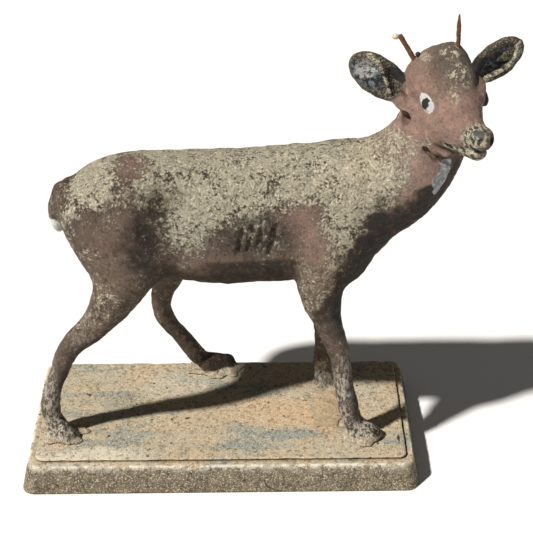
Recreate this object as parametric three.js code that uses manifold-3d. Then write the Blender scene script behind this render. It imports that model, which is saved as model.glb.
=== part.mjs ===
// A standing deer in cast concrete on a stepped concrete plinth, with bare iron rods where its antlers were.
// Millimetres. +X is the way the body faces, +Y its left side, +Z up. The origin is the middle of the plinth's underside.
import * as THREE from "three";
import { mergeVertices } from "three/addons/utils/BufferGeometryUtils.js";
import Module from "manifold-3d";

// Plinth, outside sizes
const PLINTH_LENGTH = 610; // along X at the upper edge of the lower tier
const PLINTH_WIDTH = 281; // along Y at the same edge
const PLINTH_FLARE = 9.5; // how far the foot of the lower tier stands out past that edge, all round
const LOWER_TIER_HEIGHT = 46;
const UPPER_TIER_HEIGHT = 6;
const LEDGE_WIDTH = 12; // the step between the tiers
const GROOVE_DEPTH = 1.6; // undercut below the upper tier's edge
const PLINTH_CORNER_RADIUS = 17; // in plan
const PLINTH_EDGE_WEAR = 2; // chamfer worn on the tiers' edges

// Figure: its pose, proportions and carving are shares of this height, from its soles to its crown
const FIGURE_HEIGHT = 650;
const FIGURE_FORWARD = 0; // where the figure stands on the plinth, along X
const FIGURE_ACROSS = 0; // and along Y

// Iron rods of the lost antlers
const RIGHT_ROD_DIAMETER = 7.5;
const RIGHT_ROD_SHOWING = 40; // length out of the head
const LEFT_ROD_DIAMETER = 7;
const LEFT_ROD_SHOWING = 46;
const LEFT_ROD_POINT = 16; // length of its tapered end
const ROD_SET_IN = 20; // length of each rod inside the head
const STUB_DIAMETER = 7.5; // broken-off branch beside the right rod
const STUB_SHOWING = 9.5;
const STUB_SET_IN = 6;
const STUB_GAP = 2; // concrete left between the stub and the right rod
const REMNANT_LENGTH = 11; // lump of concrete left on the right rod's end
const REMNANT_DIAMETER = 9.5;
const REMNANT_DROP = 3; // how far below the rod's end the middle of that lump clings

// Gap kept between neighbouring solids
const CLEARANCE = 0.3;

const wasm = await Module();
wasm.setup();

const plinthHeight = LOWER_TIER_HEIGHT + UPPER_TIER_HEIGHT;
const unit = FIGURE_HEIGHT / 650; // the figure is drawn on a grid of 650 units from sole to crown

function toManifold(geometry) {
  const bare = geometry.index ? geometry.toNonIndexed() : geometry.clone();
  bare.deleteAttribute("normal");
  bare.deleteAttribute("uv");
  const merged = mergeVertices(bare, 1e-4);
  return new wasm.Manifold(new wasm.Mesh({
    numProp: 3,
    vertProperties: new Float32Array(merged.attributes.position.array),
    triVerts: new Uint32Array(merged.index.array),
  }));
}

function toGeometry(solid) {
  const mesh = solid.getMesh();
  const geometry = new THREE.BufferGeometry();
  geometry.setAttribute("position", new THREE.BufferAttribute(new Float32Array(mesh.vertProperties), 3));
  geometry.setIndex(new THREE.BufferAttribute(new Uint32Array(mesh.triVerts), 1));
  geometry.computeVertexNormals();
  return geometry;
}

// Stepped plinth: rounded rectangles stacked up and joined by side faces

function roundedRing(halfX, halfY, radius, z, perCorner) {
  const points = [];
  for (let corner = 0; corner < 4; corner++) {
    const centreX = (corner === 0 || corner === 3 ? 1 : -1) * (halfX - radius);
    const centreY = (corner < 2 ? 1 : -1) * (halfY - radius);
    for (let i = 0; i <= perCorner; i++) {
      const angle = (corner + i / perCorner) * Math.PI / 2;
      points.push(new THREE.Vector3(centreX + radius * Math.cos(angle), centreY + radius * Math.sin(angle), z));
    }
  }
  return points;
}

function stackRings(rings) {
  const count = rings[0].length;
  const positions = [];
  const index = [];
  for (const ring of rings) {
    for (const point of ring) positions.push(point.x, point.y, point.z);
  }
  for (let level = 0; level + 1 < rings.length; level++) {
    for (let i = 0; i < count; i++) {
      const a = level * count + i;
      const b = level * count + (i + 1) % count;
      index.push(a, b, b + count, a, b + count, a + count);
    }
  }
  for (const [level, up] of [[0, false], [rings.length - 1, true]]) {
    const hub = positions.length / 3;
    positions.push(0, 0, rings[level][0].z);
    for (let i = 0; i < count; i++) {
      const a = level * count + i;
      const b = level * count + (i + 1) % count;
      if (up) index.push(a, b, hub);
      else index.push(b, a, hub);
    }
  }
  const geometry = new THREE.BufferGeometry();
  geometry.setAttribute("position", new THREE.Float32BufferAttribute(positions, 3));
  geometry.setIndex(index);
  geometry.computeVertexNormals();
  return geometry;
}

function plinthGeometry() {
  const wear = PLINTH_EDGE_WEAR;
  const groove = UPPER_TIER_HEIGHT * 0.3;
  const levels = [
    [PLINTH_FLARE - wear, 0],
    [PLINTH_FLARE, wear],
    [0.3, LOWER_TIER_HEIGHT - wear],
    [-wear, LOWER_TIER_HEIGHT],
    [-LEDGE_WIDTH - GROOVE_DEPTH, LOWER_TIER_HEIGHT + 0.2],
    [-LEDGE_WIDTH - GROOVE_DEPTH, LOWER_TIER_HEIGHT + groove],
    [-LEDGE_WIDTH, LOWER_TIER_HEIGHT + groove + 0.6],
    [-LEDGE_WIDTH, plinthHeight - wear],
    [-LEDGE_WIDTH - wear, plinthHeight],
  ];
  return stackRings(levels.map(([out, z]) => {
    const radius = Math.max(4, PLINTH_CORNER_RADIUS + out * 0.4);
    return roundedRing(PLINTH_LENGTH / 2 + out, PLINTH_WIDTH / 2 + out, radius, z, 7);
  }));
}

// A field over a grid: solids are blended into it or carved out of it, and its zero surface becomes the mesh

class Sculpture {
  constructor(low, high, cell) {
    this.low = low;
    this.cell = cell;
    this.size = low.map((v, i) => Math.ceil((high[i] - v) / cell) + 1);
    this.field = new Float32Array(this.size[0] * this.size[1] * this.size[2]).fill(60);
    this.sheet = new Float32Array(this.field.length);
  }

  // The grid points within reach of a solid
  span(solid, reach) {
    return {
      from: this.low.map((v, i) => Math.max(0, Math.floor((solid.low[i] - reach - v) / this.cell))),
      to: this.low.map((v, i) => Math.min(this.size[i], Math.ceil((solid.high[i] + reach - v) / this.cell) + 1)),
    };
  }

  visit({ from, to }, act) {
    for (let k = from[2]; k < to[2]; k++) {
      for (let j = from[1]; j < to[1]; j++) {
        let at = from[0] + this.size[0] * (j + this.size[1] * k);
        for (let i = from[0]; i < to[0]; i++, at++) {
          act(at, this.low[0] + i * this.cell, this.low[1] + j * this.cell, this.low[2] + k * this.cell);
        }
      }
    }
  }

  apply(solid, blend, carve) {
    const field = this.field;
    const reach = blend + 3 * this.cell;
    const whole = this.span(solid, reach);
    if (solid.bones) {
      this.visit(whole, (at) => {
        this.sheet[at] = 60;
      });
      for (const part of solid.bones) {
        this.visit(this.span(part, reach), (at, x, y, z) => {
          this.sheet[at] = Math.min(this.sheet[at], part.distance(x, y, z));
        });
      }
    } else {
      this.visit(whole, (at, x, y, z) => {
        this.sheet[at] = solid.distance(x, y, z);
      });
    }
    const sign = carve ? -1 : 1;
    this.visit(whole, (at) => {
      const old = field[at];
      const value = sign * this.sheet[at];
      const h = Math.min(1, Math.max(0, 0.5 + sign * 0.5 * (old - value) / blend));
      field[at] = old + (value - old) * h - sign * blend * h * (1 - h);
    });
  }

  join(solid, blend) {
    this.apply(solid, blend, false);
  }

  carve(solid, blend) {
    this.apply(solid, blend, true);
  }

  // Where two opposite corners of a grid square or cube stand alone, the weakest corner changes side,
  // so no edge is shared by four faces and no two sheets touch at a point
  settle() {
    const [nx, ny] = this.size;
    const field = this.field;
    const strides = [1, nx, nx * ny];
    const cube = [];
    for (let c = 0; c < 8; c++) cube.push((c & 1) + ((c >> 1) & 1) * nx + ((c >> 2) & 1) * nx * ny);
    const flip = (corners) => {
      corners.sort((a, b) => Math.abs(field[a]) - Math.abs(field[b]));
      field[corners[0]] = field[corners[0]] < 0 ? 0.05 : -0.05;
    };
    for (let changed = 1, pass = 0; changed && pass < 12; pass++) {
      changed = 0;
      for (const [first, second] of [[0, 1], [1, 2], [2, 0]]) {
        const across = strides[first];
        const up = strides[second];
        const last = field.length - across - up;
        for (let at = 0; at < last; at++) {
          const inside = field[at] < 0;
          if ((field[at + across + up] < 0) !== inside) continue;
          if ((field[at + across] < 0) === inside || (field[at + up] < 0) === inside) continue;
          flip([at, at + across, at + up, at + across + up]);
          changed++;
        }
      }
      for (let at = 0; at < field.length - cube[7]; at++) {
        let inside = 0;
        for (const step of cube) if (field[at + step] < 0) inside++;
        if (inside !== 2 && inside !== 6) continue;
        for (let c = 0; c < 4; c++) {
          const ends = [at + cube[c], at + cube[7 - c]];
          if (!ends.every((end) => (field[end] < 0) === (inside === 2))) continue;
          flip(ends);
          changed++;
          break;
        }
      }
    }
  }

  // One vertex in each cell that the surface crosses, and one quad across each grid edge that it cuts
  mesh() {
    this.settle();
    const [nx, ny, nz] = this.size;
    const field = this.field;
    const at = (i, j, k) => i + nx * (j + ny * k);
    const index = new Int32Array(nx * ny * nz).fill(-1);
    const positions = [];
    const offsets = [];
    for (let c = 0; c < 8; c++) offsets.push([c & 1, (c >> 1) & 1, (c >> 2) & 1]);
    const edges = [];
    for (let c = 0; c < 8; c++) {
      for (let axis = 0; axis < 3; axis++) {
        if (!(c & (1 << axis))) edges.push([c, c | (1 << axis), axis]);
      }
    }
    const steps = offsets.map(([i, j, k]) => at(i, j, k));
    const values = steps.map(() => 0);
    for (let k = 0; k + 1 < nz; k++) {
      for (let j = 0; j + 1 < ny; j++) {
        for (let i = 0; i + 1 < nx; i++) {
          const base = at(i, j, k);
          let inside = 0;
          for (let c = 0; c < 8; c++) {
            values[c] = field[base + steps[c]];
            if (values[c] < 0) inside++;
          }
          if (inside === 0 || inside === 8) continue;
          const sum = [0, 0, 0];
          let hits = 0;
          for (const [a, b, axis] of edges) {
            if ((values[a] < 0) === (values[b] < 0)) continue;
            const t = values[a] / (values[a] - values[b]);
            for (let d = 0; d < 3; d++) sum[d] += offsets[a][d] + (d === axis ? t : 0);
            hits++;
          }
          index[base] = positions.length / 3;
          positions.push(...sum.map((s, d) => this.low[d] + ([i, j, k][d] + s / hits) * this.cell));
        }
      }
    }
    const faces = [];
    for (let k = 1; k + 1 < nz; k++) {
      for (let j = 1; j + 1 < ny; j++) {
        for (let i = 1; i + 1 < nx; i++) {
          const here = field[at(i, j, k)] < 0;
          const crossed = [field[at(i + 1, j, k)] < 0, field[at(i, j + 1, k)] < 0, field[at(i, j, k + 1)] < 0];
          if (crossed.every((there) => there === here)) continue;
          const rings = [
            [crossed[0], at(i, j - 1, k - 1), at(i, j, k - 1), at(i, j, k), at(i, j - 1, k)],
            [crossed[1], at(i - 1, j, k - 1), at(i - 1, j, k), at(i, j, k), at(i, j, k - 1)],
            [crossed[2], at(i - 1, j - 1, k), at(i, j - 1, k), at(i, j, k), at(i - 1, j, k)],
          ];
          for (const [there, ...ring] of rings) {
            if (there === here) continue;
            const [a, b, c, d] = (here ? ring : ring.reverse()).map((cell) => index[cell]);
            faces.push([a, b, c], [a, c, d]);
          }
        }
      }
    }
    return { positions, faces };
  }
}

const dot = (a, b) => a[0] * b[0] + a[1] * b[1] + a[2] * b[2];
const cross = (a, b) => [a[1] * b[2] - a[2] * b[1], a[2] * b[0] - a[0] * b[2], a[0] * b[1] - a[1] * b[0]];
const plus = (a, b, share = 1) => a.map((v, i) => v + b[i] * share);
const direction = (a) => a.map((v) => v / Math.hypot(...a));
const STRAIGHT = [[1, 0, 0], [0, 1, 0], [0, 0, 1]];

function ball(centre, radii, axes = STRAIGHT) {
  const reach = Math.max(...radii);
  const [a, b, c] = axes;
  return {
    low: centre.map((v) => v - reach),
    high: centre.map((v) => v + reach),
    distance(x, y, z) {
      const dx = x - centre[0];
      const dy = y - centre[1];
      const dz = z - centre[2];
      const p = (dx * a[0] + dy * a[1] + dz * a[2]) / radii[0];
      const q = (dx * b[0] + dy * b[1] + dz * b[2]) / radii[1];
      const r = (dx * c[0] + dy * c[1] + dz * c[2]) / radii[2];
      const near = Math.sqrt(p * p + q * q + r * r);
      const slope = Math.sqrt((p / radii[0]) ** 2 + (q / radii[1]) ** 2 + (r / radii[2]) ** 2);
      return near * (near - 1) / Math.max(slope, 1e-9);
    },
  };
}

// A tapering bar with round ends; flat thins it along the side direction
function bone(a, b, startRadius, endRadius, flat = 1, side = [0, 1, 0]) {
  const s = direction(side);
  const press = 1 / flat - 1;
  const along = plus(plus(b, a, -1), s, dot(plus(b, a, -1), s) * press);
  const square = dot(along, along);
  const reach = Math.max(startRadius, endRadius);
  return {
    low: a.map((v, i) => Math.min(v, b[i]) - reach),
    high: a.map((v, i) => Math.max(v, b[i]) + reach),
    distance(x, y, z) {
      let dx = x - a[0];
      let dy = y - a[1];
      let dz = z - a[2];
      const more = (dx * s[0] + dy * s[1] + dz * s[2]) * press;
      dx += s[0] * more;
      dy += s[1] * more;
      dz += s[2] * more;
      const t = Math.min(1, Math.max(0, (dx * along[0] + dy * along[1] + dz * along[2]) / square));
      dx -= t * along[0];
      dy -= t * along[1];
      dz -= t * along[2];
      return (Math.sqrt(dx * dx + dy * dy + dz * dz) - startRadius - (endRadius - startRadius) * t) * Math.min(1, flat);
    },
  };
}

// A smooth curve through rows of numbers
function spline(rows, steps) {
  const first = rows[0].map((v, i) => 2 * v - rows[1][i]);
  const last = rows[rows.length - 1].map((v, i) => 2 * v - rows[rows.length - 2][i]);
  const all = [first, ...rows, last];
  const out = [];
  for (let i = 1; i + 2 < all.length; i++) {
    for (let step = 0; step < steps; step++) {
      const t = step / steps;
      out.push(all[i].map((v, n) => {
        const [a, c, d] = [all[i - 1][n], all[i + 1][n], all[i + 2][n]];
        return 0.5 * (2 * v + (c - a) * t + (2 * a - 5 * v + 4 * c - d) * t * t + (3 * v - a - 3 * c + d) * t ** 3);
      }));
    }
  }
  out.push(rows[rows.length - 1]);
  return out;
}

// Rows of x, y, z, radius make one smooth tapering limb
function limb(rows, steps = 6, flat = 1, side = [0, 1, 0]) {
  const line = spline(rows, steps);
  const bones = [];
  for (let i = 0; i + 1 < line.length; i++) {
    const [a, b] = [line[i], line[i + 1]];
    bones.push(bone(a.slice(0, 3), b.slice(0, 3), a[3], b[3], flat, side));
  }
  return {
    low: [0, 1, 2].map((i) => Math.min(...bones.map((b) => b.low[i]))),
    high: [0, 1, 2].map((i) => Math.max(...bones.map((b) => b.high[i]))),
    bones,
  };
}

// Rows of x, middle y, middle z, half width, half height make a body whose sections across X are ovals
function loft(rows, power) {
  const line = spline(rows, 6);
  const first = line[0][0];
  const last = line[line.length - 1][0];
  return {
    low: [first, Math.min(...line.map((r) => r[1] - r[3])), Math.min(...line.map((r) => r[2] - r[4]))],
    high: [last, Math.max(...line.map((r) => r[1] + r[3])), Math.max(...line.map((r) => r[2] + r[4]))],
    distance(x, y, z) {
      const held = Math.min(last, Math.max(first, x));
      let n = 0;
      while (n + 2 < line.length && line[n + 1][0] < held) n++;
      const t = (held - line[n][0]) / (line[n + 1][0] - line[n][0]);
      const [, midY, midZ, half, tall] = line[n].map((v, i) => v + (line[n + 1][i] - v) * t);
      const q = (Math.abs((y - midY) / half) ** power + Math.abs((z - midZ) / tall) ** power) ** (1 / power);
      const flat = (q - 1) * Math.min(half, tall);
      const over = Math.max(Math.abs(x - (first + last) / 2) - (last - first) / 2, 0);
      return over > 0 ? Math.hypot(Math.max(flat, 0), over) : flat;
    },
  };
}

// The head looks out over the animal's right shoulder: turned from the body, nose a little down, tipped slightly
const turn = THREE.MathUtils.degToRad(25);
const nod = THREE.MathUtils.degToRad(18);
const tip = THREE.MathUtils.degToRad(4);
const noseWay = [Math.sin(turn) * Math.cos(nod), -Math.cos(turn) * Math.cos(nod), -Math.sin(nod)];
const level = [Math.cos(turn), Math.sin(turn), 0];
const upright = cross(noseWay, level);
const leftWay = plus(level.map((v) => v * Math.cos(tip)), upright, -Math.sin(tip));
const crownWay = plus(upright.map((v) => v * Math.cos(tip)), level, Math.sin(tip));
const headAxes = [noseWay, leftWay, crownWay];
const betweenEyes = [341, -69, 588];

function head(forward, left, up) {
  return plus(plus(plus(betweenEyes, noseWay, forward), leftWay, left), crownWay, up);
}

function headRow(forward, left, up, radius) {
  return [...head(forward, left, up), radius];
}

function addHoof(s, heel, toe) {
  const ahead = direction([toe[0] - heel[0], toe[1] - heel[1], 0]);
  const aside = [-ahead[1], ahead[0], 0];
  s.join(bone(heel, plus(toe, [0, 0, 9]), 16, 12), 8);
  for (const k of [1, -1]) {
    const start = plus(plus(heel, aside, 6 * k), [0, 0, -8]);
    const end = plus(plus(toe, aside, 6 * k), [0, 0, 6]);
    s.join(bone(start, end, 11, 9), 4);
  }
}

// Each ear: the root of its stem, its own root, its tip, the way its hollow faces, and its length, width and thickness
const ears = [
  [[308, -34, 572], [292, -30, 560], [193, -16, 630], [0.25, -0.9, -0.25], 98, 58, 13],
  [[346, -10, 580], [364, 13, 575], [441, 34, 625], [0.1, -0.95, -0.1], 90, 56, 13],
];

function addEar(s, stem, root, end, facing, length, width, thick) {
  const along = direction(plus(end, root, -1));
  const out = direction(plus(facing, along, -dot(facing, along)));
  const across = cross(out, along);
  const middle = plus(root, plus(end, root, -1), 0.58);
  s.join(limb([[...stem, 23], [...root, 19], [...plus(root, plus(end, root, -1), 0.35), 12]], 5), 9);
  s.join(ball(middle, [length / 2, width / 2, thick], [along, across, out]), 6);
  const hollow = plus(middle, out, thick * 0.82);
  s.carve(ball(hollow, [length * 0.41, width * 0.4, thick * 0.95], [along, across, out]), 3);
  s.carve(bone(plus(root, out, 12), plus(middle, out, 10), 4, 9), 4);
}

function addTrunk(s) {
  s.join(loft([
    [-240, 6, 390, 16, 15], [-232, 7, 386, 40, 32], [-214, 8, 375, 57, 50], [-180, 8, 373, 67, 75],
    [-130, 8, 369, 72, 93], [-70, 7, 364, 73, 101], [-10, 6, 360, 75, 107], [50, 5, 362, 76, 107],
    [110, 3, 367, 74, 108], [165, 0, 376, 70, 100], [215, -4, 386, 62, 80], [250, -8, 392, 44, 54],
    [262, -8, 392, 26, 34],
  ], 2.2), 10);
  s.join(ball([206, -6, 350], [56, 50, 60]), 22);
  s.join(limb([
    [205, -2, 404, 80], [245, -10, 420, 75], [280, -20, 452, 67], [304, -30, 493, 58],
    [316, -36, 535, 52], [322, -34, 575, 42],
  ], 8, 0.86, [0.35, 0.93, 0]), 20);
  s.join(limb([[-232, 6, 410, 12], [-240, 0, 385, 13], [-241, -2, 362, 11], [-239, -2, 346, 6]]), 6);
}

// Middles of the eyes and of the brows over them, in the head's own directions: right, then left
const eyes = [[-11, -39, -12], [2, 42, -6]];
const brows = [[-12, -35, 12], [-3, 34, 14]];

function addHead(s) {
  s.join(ball(head(-52, -6, -6), [42, 43, 35], headAxes), 12);
  s.join(ball(head(-59, -12, 21), [20, 18, 18], headAxes), 14);
  s.join(ball(head(-45, 20, 18), [20, 18, 18], headAxes), 12);
  s.join(ball(head(-48, 5, 35), [20, 18, 20], headAxes), 18);
  s.join(ball(head(-22, 6, 22), [26, 22, 20], headAxes), 12);
  s.join(ball(head(-8, -2, -6), [44, 40, 34], headAxes), 12);
  s.join(limb([
    headRow(14, -2, -10, 33), headRow(36, -3, -13, 24), headRow(54, -1, -15, 19.5), headRow(70, 0, -15, 18.5),
  ], 8, 0.84, leftWay), 12);
  s.join(limb([
    headRow(-26, 0, -40, 34), headRow(14, -1, -47, 27), headRow(44, 0, -43, 18), headRow(71, 3, -37, 13),
  ], 8), 10);
  s.join(ball(head(73, 1, -13), [13, 17.5, 14.5], headAxes), 7);
  for (const brow of brows) {
    const k = Math.sign(brow[1]);
    const start = plus(brow, [-14, 0, -4]);
    const end = plus(brow, [16, -6 * k, -6]);
    s.join(limb([headRow(...start, 7), headRow(...brow, 9), headRow(...end, 6)], 4), 10);
    s.join(ball(head(2, 22 * k, -36), [38, 20, 34], headAxes), 10);
  }
  s.join(ball(head(30, -14, -28), [34, 15, 22], headAxes), 10);
  for (const [forward, left, up] of eyes) {
    const k = Math.sign(left);
    s.carve(ball(head(forward + 1, left + 7 * k, up), [19, 5, 16], headAxes), 4);
    s.join(ball(head(forward, left, up), [14, 8, 11], headAxes), 2);
    s.carve(ball(head(84, 9 * k, -7), [5, 5, 4], headAxes), 3);
  }
  const rightLip = [headRow(36, -29, -50, 3), headRow(55, -21, -41, 3), headRow(73, -13, -31, 3)];
  const leftLip = [headRow(73, 13, -31, 3), headRow(55, 20, -41, 3), headRow(36, 27, -50, 3)];
  s.carve(limb([...rightLip, headRow(88, 0, -25, 3), ...leftLip], 4), 3);
  // the edge of the jaw over a crease, and the pocket behind the jaw under the right ear
  s.join(limb([headRow(-4, -35, -52, 8), headRow(14, -26, -65, 8), headRow(30, -12, -73, 8)], 5), 6);
  s.carve(limb([
    headRow(12, -36, -77, 4), headRow(24, -22, -86, 4.5), headRow(37, -6, -94, 6),
  ], 4), 3);
  s.join(limb([[256, -36, 580, 9], [270, -46, 566, 10], [286, -54, 558, 10]], 4), 8);
  s.carve(ball(head(-32, -51, -53), [10, 12, 11], headAxes), 3);
  for (const ear of ears) addEar(s, ...ear);
}

function addLegs(s) {
  const leaning = (x) => [direction([1, 0, x]), [0, 1, 0], direction([-x, 0, 1])];
  // right fore leg, nearest the looker
  s.join(ball([176, -44, 358], [54, 30, 84], leaning(0.3)), 18);
  s.join(limb([[166, -52, 330, 52], [156, -60, 288, 38], [157, -66, 256, 29]], 8, 0.66), 16);
  s.join(limb([
    [156, -64, 280, 26], [158, -69, 252, 25], [166, -71, 221, 21.5], [176, -72, 190, 18.5], [187, -72, 154, 16],
    [194, -73, 103, 14.5], [202, -72, 59, 16], [209, -71, 30, 15],
  ]), 8);
  addHoof(s, [214, -70, 20], [242, -79, 0]);
  // left fore leg
  s.join(ball([180, 40, 355], [52, 28, 84]), 18);
  s.join(limb([[176, 42, 325, 46], [168, 48, 280, 34], [165, 54, 240, 23]], 8, 0.66), 16);
  s.join(limb([
    [168, 52, 270, 24], [165, 54, 235, 20], [164, 54, 190, 17], [165, 56, 134, 14], [168, 60, 89, 14],
    [168, 63, 51, 16], [170, 64, 28, 14],
  ]), 8);
  addHoof(s, [172, 64, 18], [198, 60, 0]);
  // right hind leg, set back
  s.join(ball([-152, -34, 352], [66, 40, 88], leaning(0.45)), 18);
  s.join(limb([[-136, -38, 335, 62], [-142, -48, 290, 47], [-160, -60, 250, 31]], 8, 0.64), 18);
  s.join(limb([
    [-150, -56, 272, 30], [-164, -62, 245, 28.5], [-190, -67, 211, 22.5], [-222, -66, 181, 18],
    [-240, -65, 152, 16], [-251, -63, 122, 14.5], [-264, -61, 88, 14], [-270, -60, 60, 15.5], [-270, -60, 36, 15],
  ]), 8);
  addHoof(s, [-264, -62, 20], [-244, -77, 0]);
  // left hind leg, stepping under the belly
  s.join(ball([-125, 40, 348], [66, 38, 84]), 18);
  s.join(limb([[-104, 44, 325, 54], [-84, 54, 272, 38], [-84, 66, 220, 25]], 8, 0.66), 18);
  s.join(limb([
    [-84, 62, 245, 26], [-86, 69, 212, 22], [-97, 77, 168, 17], [-92, 84, 125, 14.5], [-70, 92, 86, 13.5],
    [-50, 100, 48, 15], [-40, 105, 30, 14],
  ]), 8);
  addHoof(s, [-26, 110, 18], [8, 121, 0]);
}

// Hollows of the flanks, creases at the elbow and the flank, the gouged ribs, and the mortar heaped round the feet
function addCarving(s) {
  s.carve(ball([-88, -74, 402], [26, 15, 46]), 14);
  s.carve(ball([-88, 88, 402], [26, 15, 46]), 14);
  s.carve(limb([[118, -80, 345, 5], [110, -82, 318, 5], [104, -78, 296, 4]]), 8);
  s.carve(limb([[-60, -78, 340, 5], [-46, -76, 318, 5], [-30, -66, 296, 4]]), 8);
  for (const [x, z] of [[35, 355], [52, 368], [68, 381], [83, 363]]) {
    s.carve(bone([x - 5, -70, z - 25], [x + 5, -71, z + 22], 4, 5), 3);
  }
  s.join(ball([224, -73, -1], [34, 26, 9]), 8);
  s.join(ball([-254, -62, -1], [30, 26, 9]), 8);
  s.join(ball([-12, 111, -1], [44, 22, 8]), 8);
  s.join(ball([176, 58, -1], [32, 26, 8]), 8);
  s.join(ball([170, 2, -3], [30, 64, 8]), 10);
}

// Edge collapse by squared distance to the planes of the faces, down to a number of faces
function simplify({ positions, faces }, target) {
  const points = new Float64Array(positions);
  const count = points.length / 3;
  const around = Array.from({ length: count }, () => new Set());
  const quadrics = new Float64Array(count * 10);
  const alive = faces.map(() => true);
  const point = (v) => [points[3 * v], points[3 * v + 1], points[3 * v + 2]];
  faces.forEach((face, f) => {
    const [a, b, c] = face.map(point);
    const raw = cross(plus(b, a, -1), plus(c, a, -1));
    const area = Math.hypot(...raw);
    for (const v of face) around[v].add(f);
    if (area < 1e-12) return;
    const n = raw.map((v) => v / area);
    const plane = [...n, -dot(n, a)];
    for (const v of face) {
      let slot = v * 10;
      for (let i = 0; i < 4; i++) {
        for (let j = i; j < 4; j++) quadrics[slot++] += plane[i] * plane[j] * area;
      }
    }
  });
  const version = new Uint32Array(count);
  const heap = [];
  const lower = (a, b) => heap[a][0] < heap[b][0];
  const swap = (a, b) => {
    [heap[a], heap[b]] = [heap[b], heap[a]];
  };
  const push = (item) => {
    heap.push(item);
    let at = heap.length - 1;
    while (at > 0 && lower(at, (at - 1) >> 1)) {
      swap(at, (at - 1) >> 1);
      at = (at - 1) >> 1;
    }
  };
  const pop = () => {
    const top = heap[0];
    const end = heap.pop();
    if (heap.length) {
      heap[0] = end;
      for (let at = 0; ;) {
        let least = at;
        for (const child of [2 * at + 1, 2 * at + 2]) {
          if (child < heap.length && lower(child, least)) least = child;
        }
        if (least === at) break;
        swap(at, least);
        at = least;
      }
    }
    return top;
  };
  const best = (a, b) => {
    const q = new Float64Array(10);
    for (let i = 0; i < 10; i++) q[i] = quadrics[a * 10 + i] + quadrics[b * 10 + i];
    const cost = ([x, y, z]) => q[0] * x * x + 2 * q[1] * x * y + 2 * q[2] * x * z + 2 * q[3] * x
      + q[4] * y * y + 2 * q[5] * y * z + 2 * q[6] * y + q[7] * z * z + 2 * q[8] * z + q[9];
    const [pa, pb] = [point(a), point(b)];
    const middle = pa.map((v, i) => (v + pb[i]) / 2);
    const tries = [pa, pb, middle];
    const det = q[0] * (q[4] * q[7] - q[5] * q[5]) - q[1] * (q[1] * q[7] - q[5] * q[2]) + q[2] * (q[1] * q[5] - q[4] * q[2]);
    if (Math.abs(det) > 1e-3) {
      const x = -(q[3] * (q[4] * q[7] - q[5] * q[5]) - q[1] * (q[6] * q[7] - q[5] * q[8]) + q[2] * (q[6] * q[5] - q[4] * q[8])) / det;
      const y = -(q[0] * (q[6] * q[7] - q[5] * q[8]) - q[3] * (q[1] * q[7] - q[5] * q[2]) + q[2] * (q[1] * q[8] - q[6] * q[2])) / det;
      const z = -(q[0] * (q[4] * q[8] - q[6] * q[5]) - q[1] * (q[1] * q[8] - q[6] * q[2]) + q[3] * (q[1] * q[5] - q[4] * q[2])) / det;
      if (Math.hypot(x - middle[0], y - middle[1], z - middle[2]) < 2 * Math.hypot(...plus(pa, pb, -1))) tries.push([x, y, z]);
    }
    let chosen = tries[0];
    let price = Infinity;
    for (const p of tries) {
      const c = cost(p);
      if (c < price) [chosen, price] = [p, c];
    }
    return [Math.max(price, 0) + 1e-4 * dot(plus(pa, pb, -1), plus(pa, pb, -1)), chosen];
  };
  const queue = (a, b) => {
    const [price, place] = best(a, b);
    push([price, a, b, version[a], version[b], place]);
  };
  const neighbours = (v) => {
    const found = new Set();
    for (const f of around[v]) for (const w of faces[f]) if (w !== v) found.add(w);
    return found;
  };
  for (let v = 0; v < count; v++) for (const w of neighbours(v)) if (v < w) queue(v, w);
  let left = faces.length;
  while (left > target && heap.length) {
    const [, a, b, versionA, versionB, place] = pop();
    if (version[a] !== versionA || version[b] !== versionB) continue;
    const nearA = neighbours(a);
    const nearB = neighbours(b);
    const shared = [...nearA].filter((v) => nearB.has(v));
    const between = [...around[a]].filter((f) => faces[f].includes(b));
    if (shared.length !== 2 || between.length !== 2) continue;
    let flips = false;
    for (const [v, other] of [[a, b], [b, a]]) {
      for (const f of around[v]) {
        if (faces[f].includes(other)) continue;
        const before = faces[f].map(point);
        const after = faces[f].map((w, i) => (w === v ? place : before[i]));
        const was = cross(plus(before[1], before[0], -1), plus(before[2], before[0], -1));
        const now = cross(plus(after[1], after[0], -1), plus(after[2], after[0], -1));
        if (dot(was, now) < 0.2 * Math.hypot(...was) * Math.hypot(...now) || Math.hypot(...now) < 1e-3) flips = true;
      }
      if (flips) break;
    }
    if (flips) continue;
    for (const f of between) {
      alive[f] = false;
      left--;
      for (const v of faces[f]) around[v].delete(f);
    }
    for (const f of around[b]) {
      faces[f] = faces[f].map((v) => (v === b ? a : v));
      around[a].add(f);
    }
    around[b].clear();
    version[b]++;
    version[a]++;
    for (let i = 0; i < 3; i++) points[3 * a + i] = place[i];
    for (let i = 0; i < 10; i++) quadrics[a * 10 + i] += quadrics[b * 10 + i];
    for (const v of neighbours(a)) queue(a, v);
  }
  const kept = faces.filter((_, f) => alive[f]);
  return { points, faces: kept };
}

function figureSolid() {
  const cell = 4.6; // fine enough for the eyes and lips
  const faceCount = 7900; // leaves the whole statue under ten thousand triangles
  const s = new Sculpture([-312, -182, -32], [466, 150, 686], cell);
  addTrunk(s);
  addHead(s);
  addLegs(s);
  addCarving(s);
  const { points, faces } = simplify(s.mesh(), faceCount);
  const geometry = new THREE.BufferGeometry();
  geometry.setAttribute("position", new THREE.Float32BufferAttribute(points, 3));
  geometry.setIndex(faces.flat());
  geometry.scale(unit, unit, unit);
  geometry.translate(FIGURE_FORWARD, FIGURE_ACROSS, plinthHeight);
  return toManifold(geometry);
}

const toWorld = (p) => new THREE.Vector3(p[0] * unit + FIGURE_FORWARD, p[1] * unit + FIGURE_ACROSS, p[2] * unit + plinthHeight);

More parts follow.
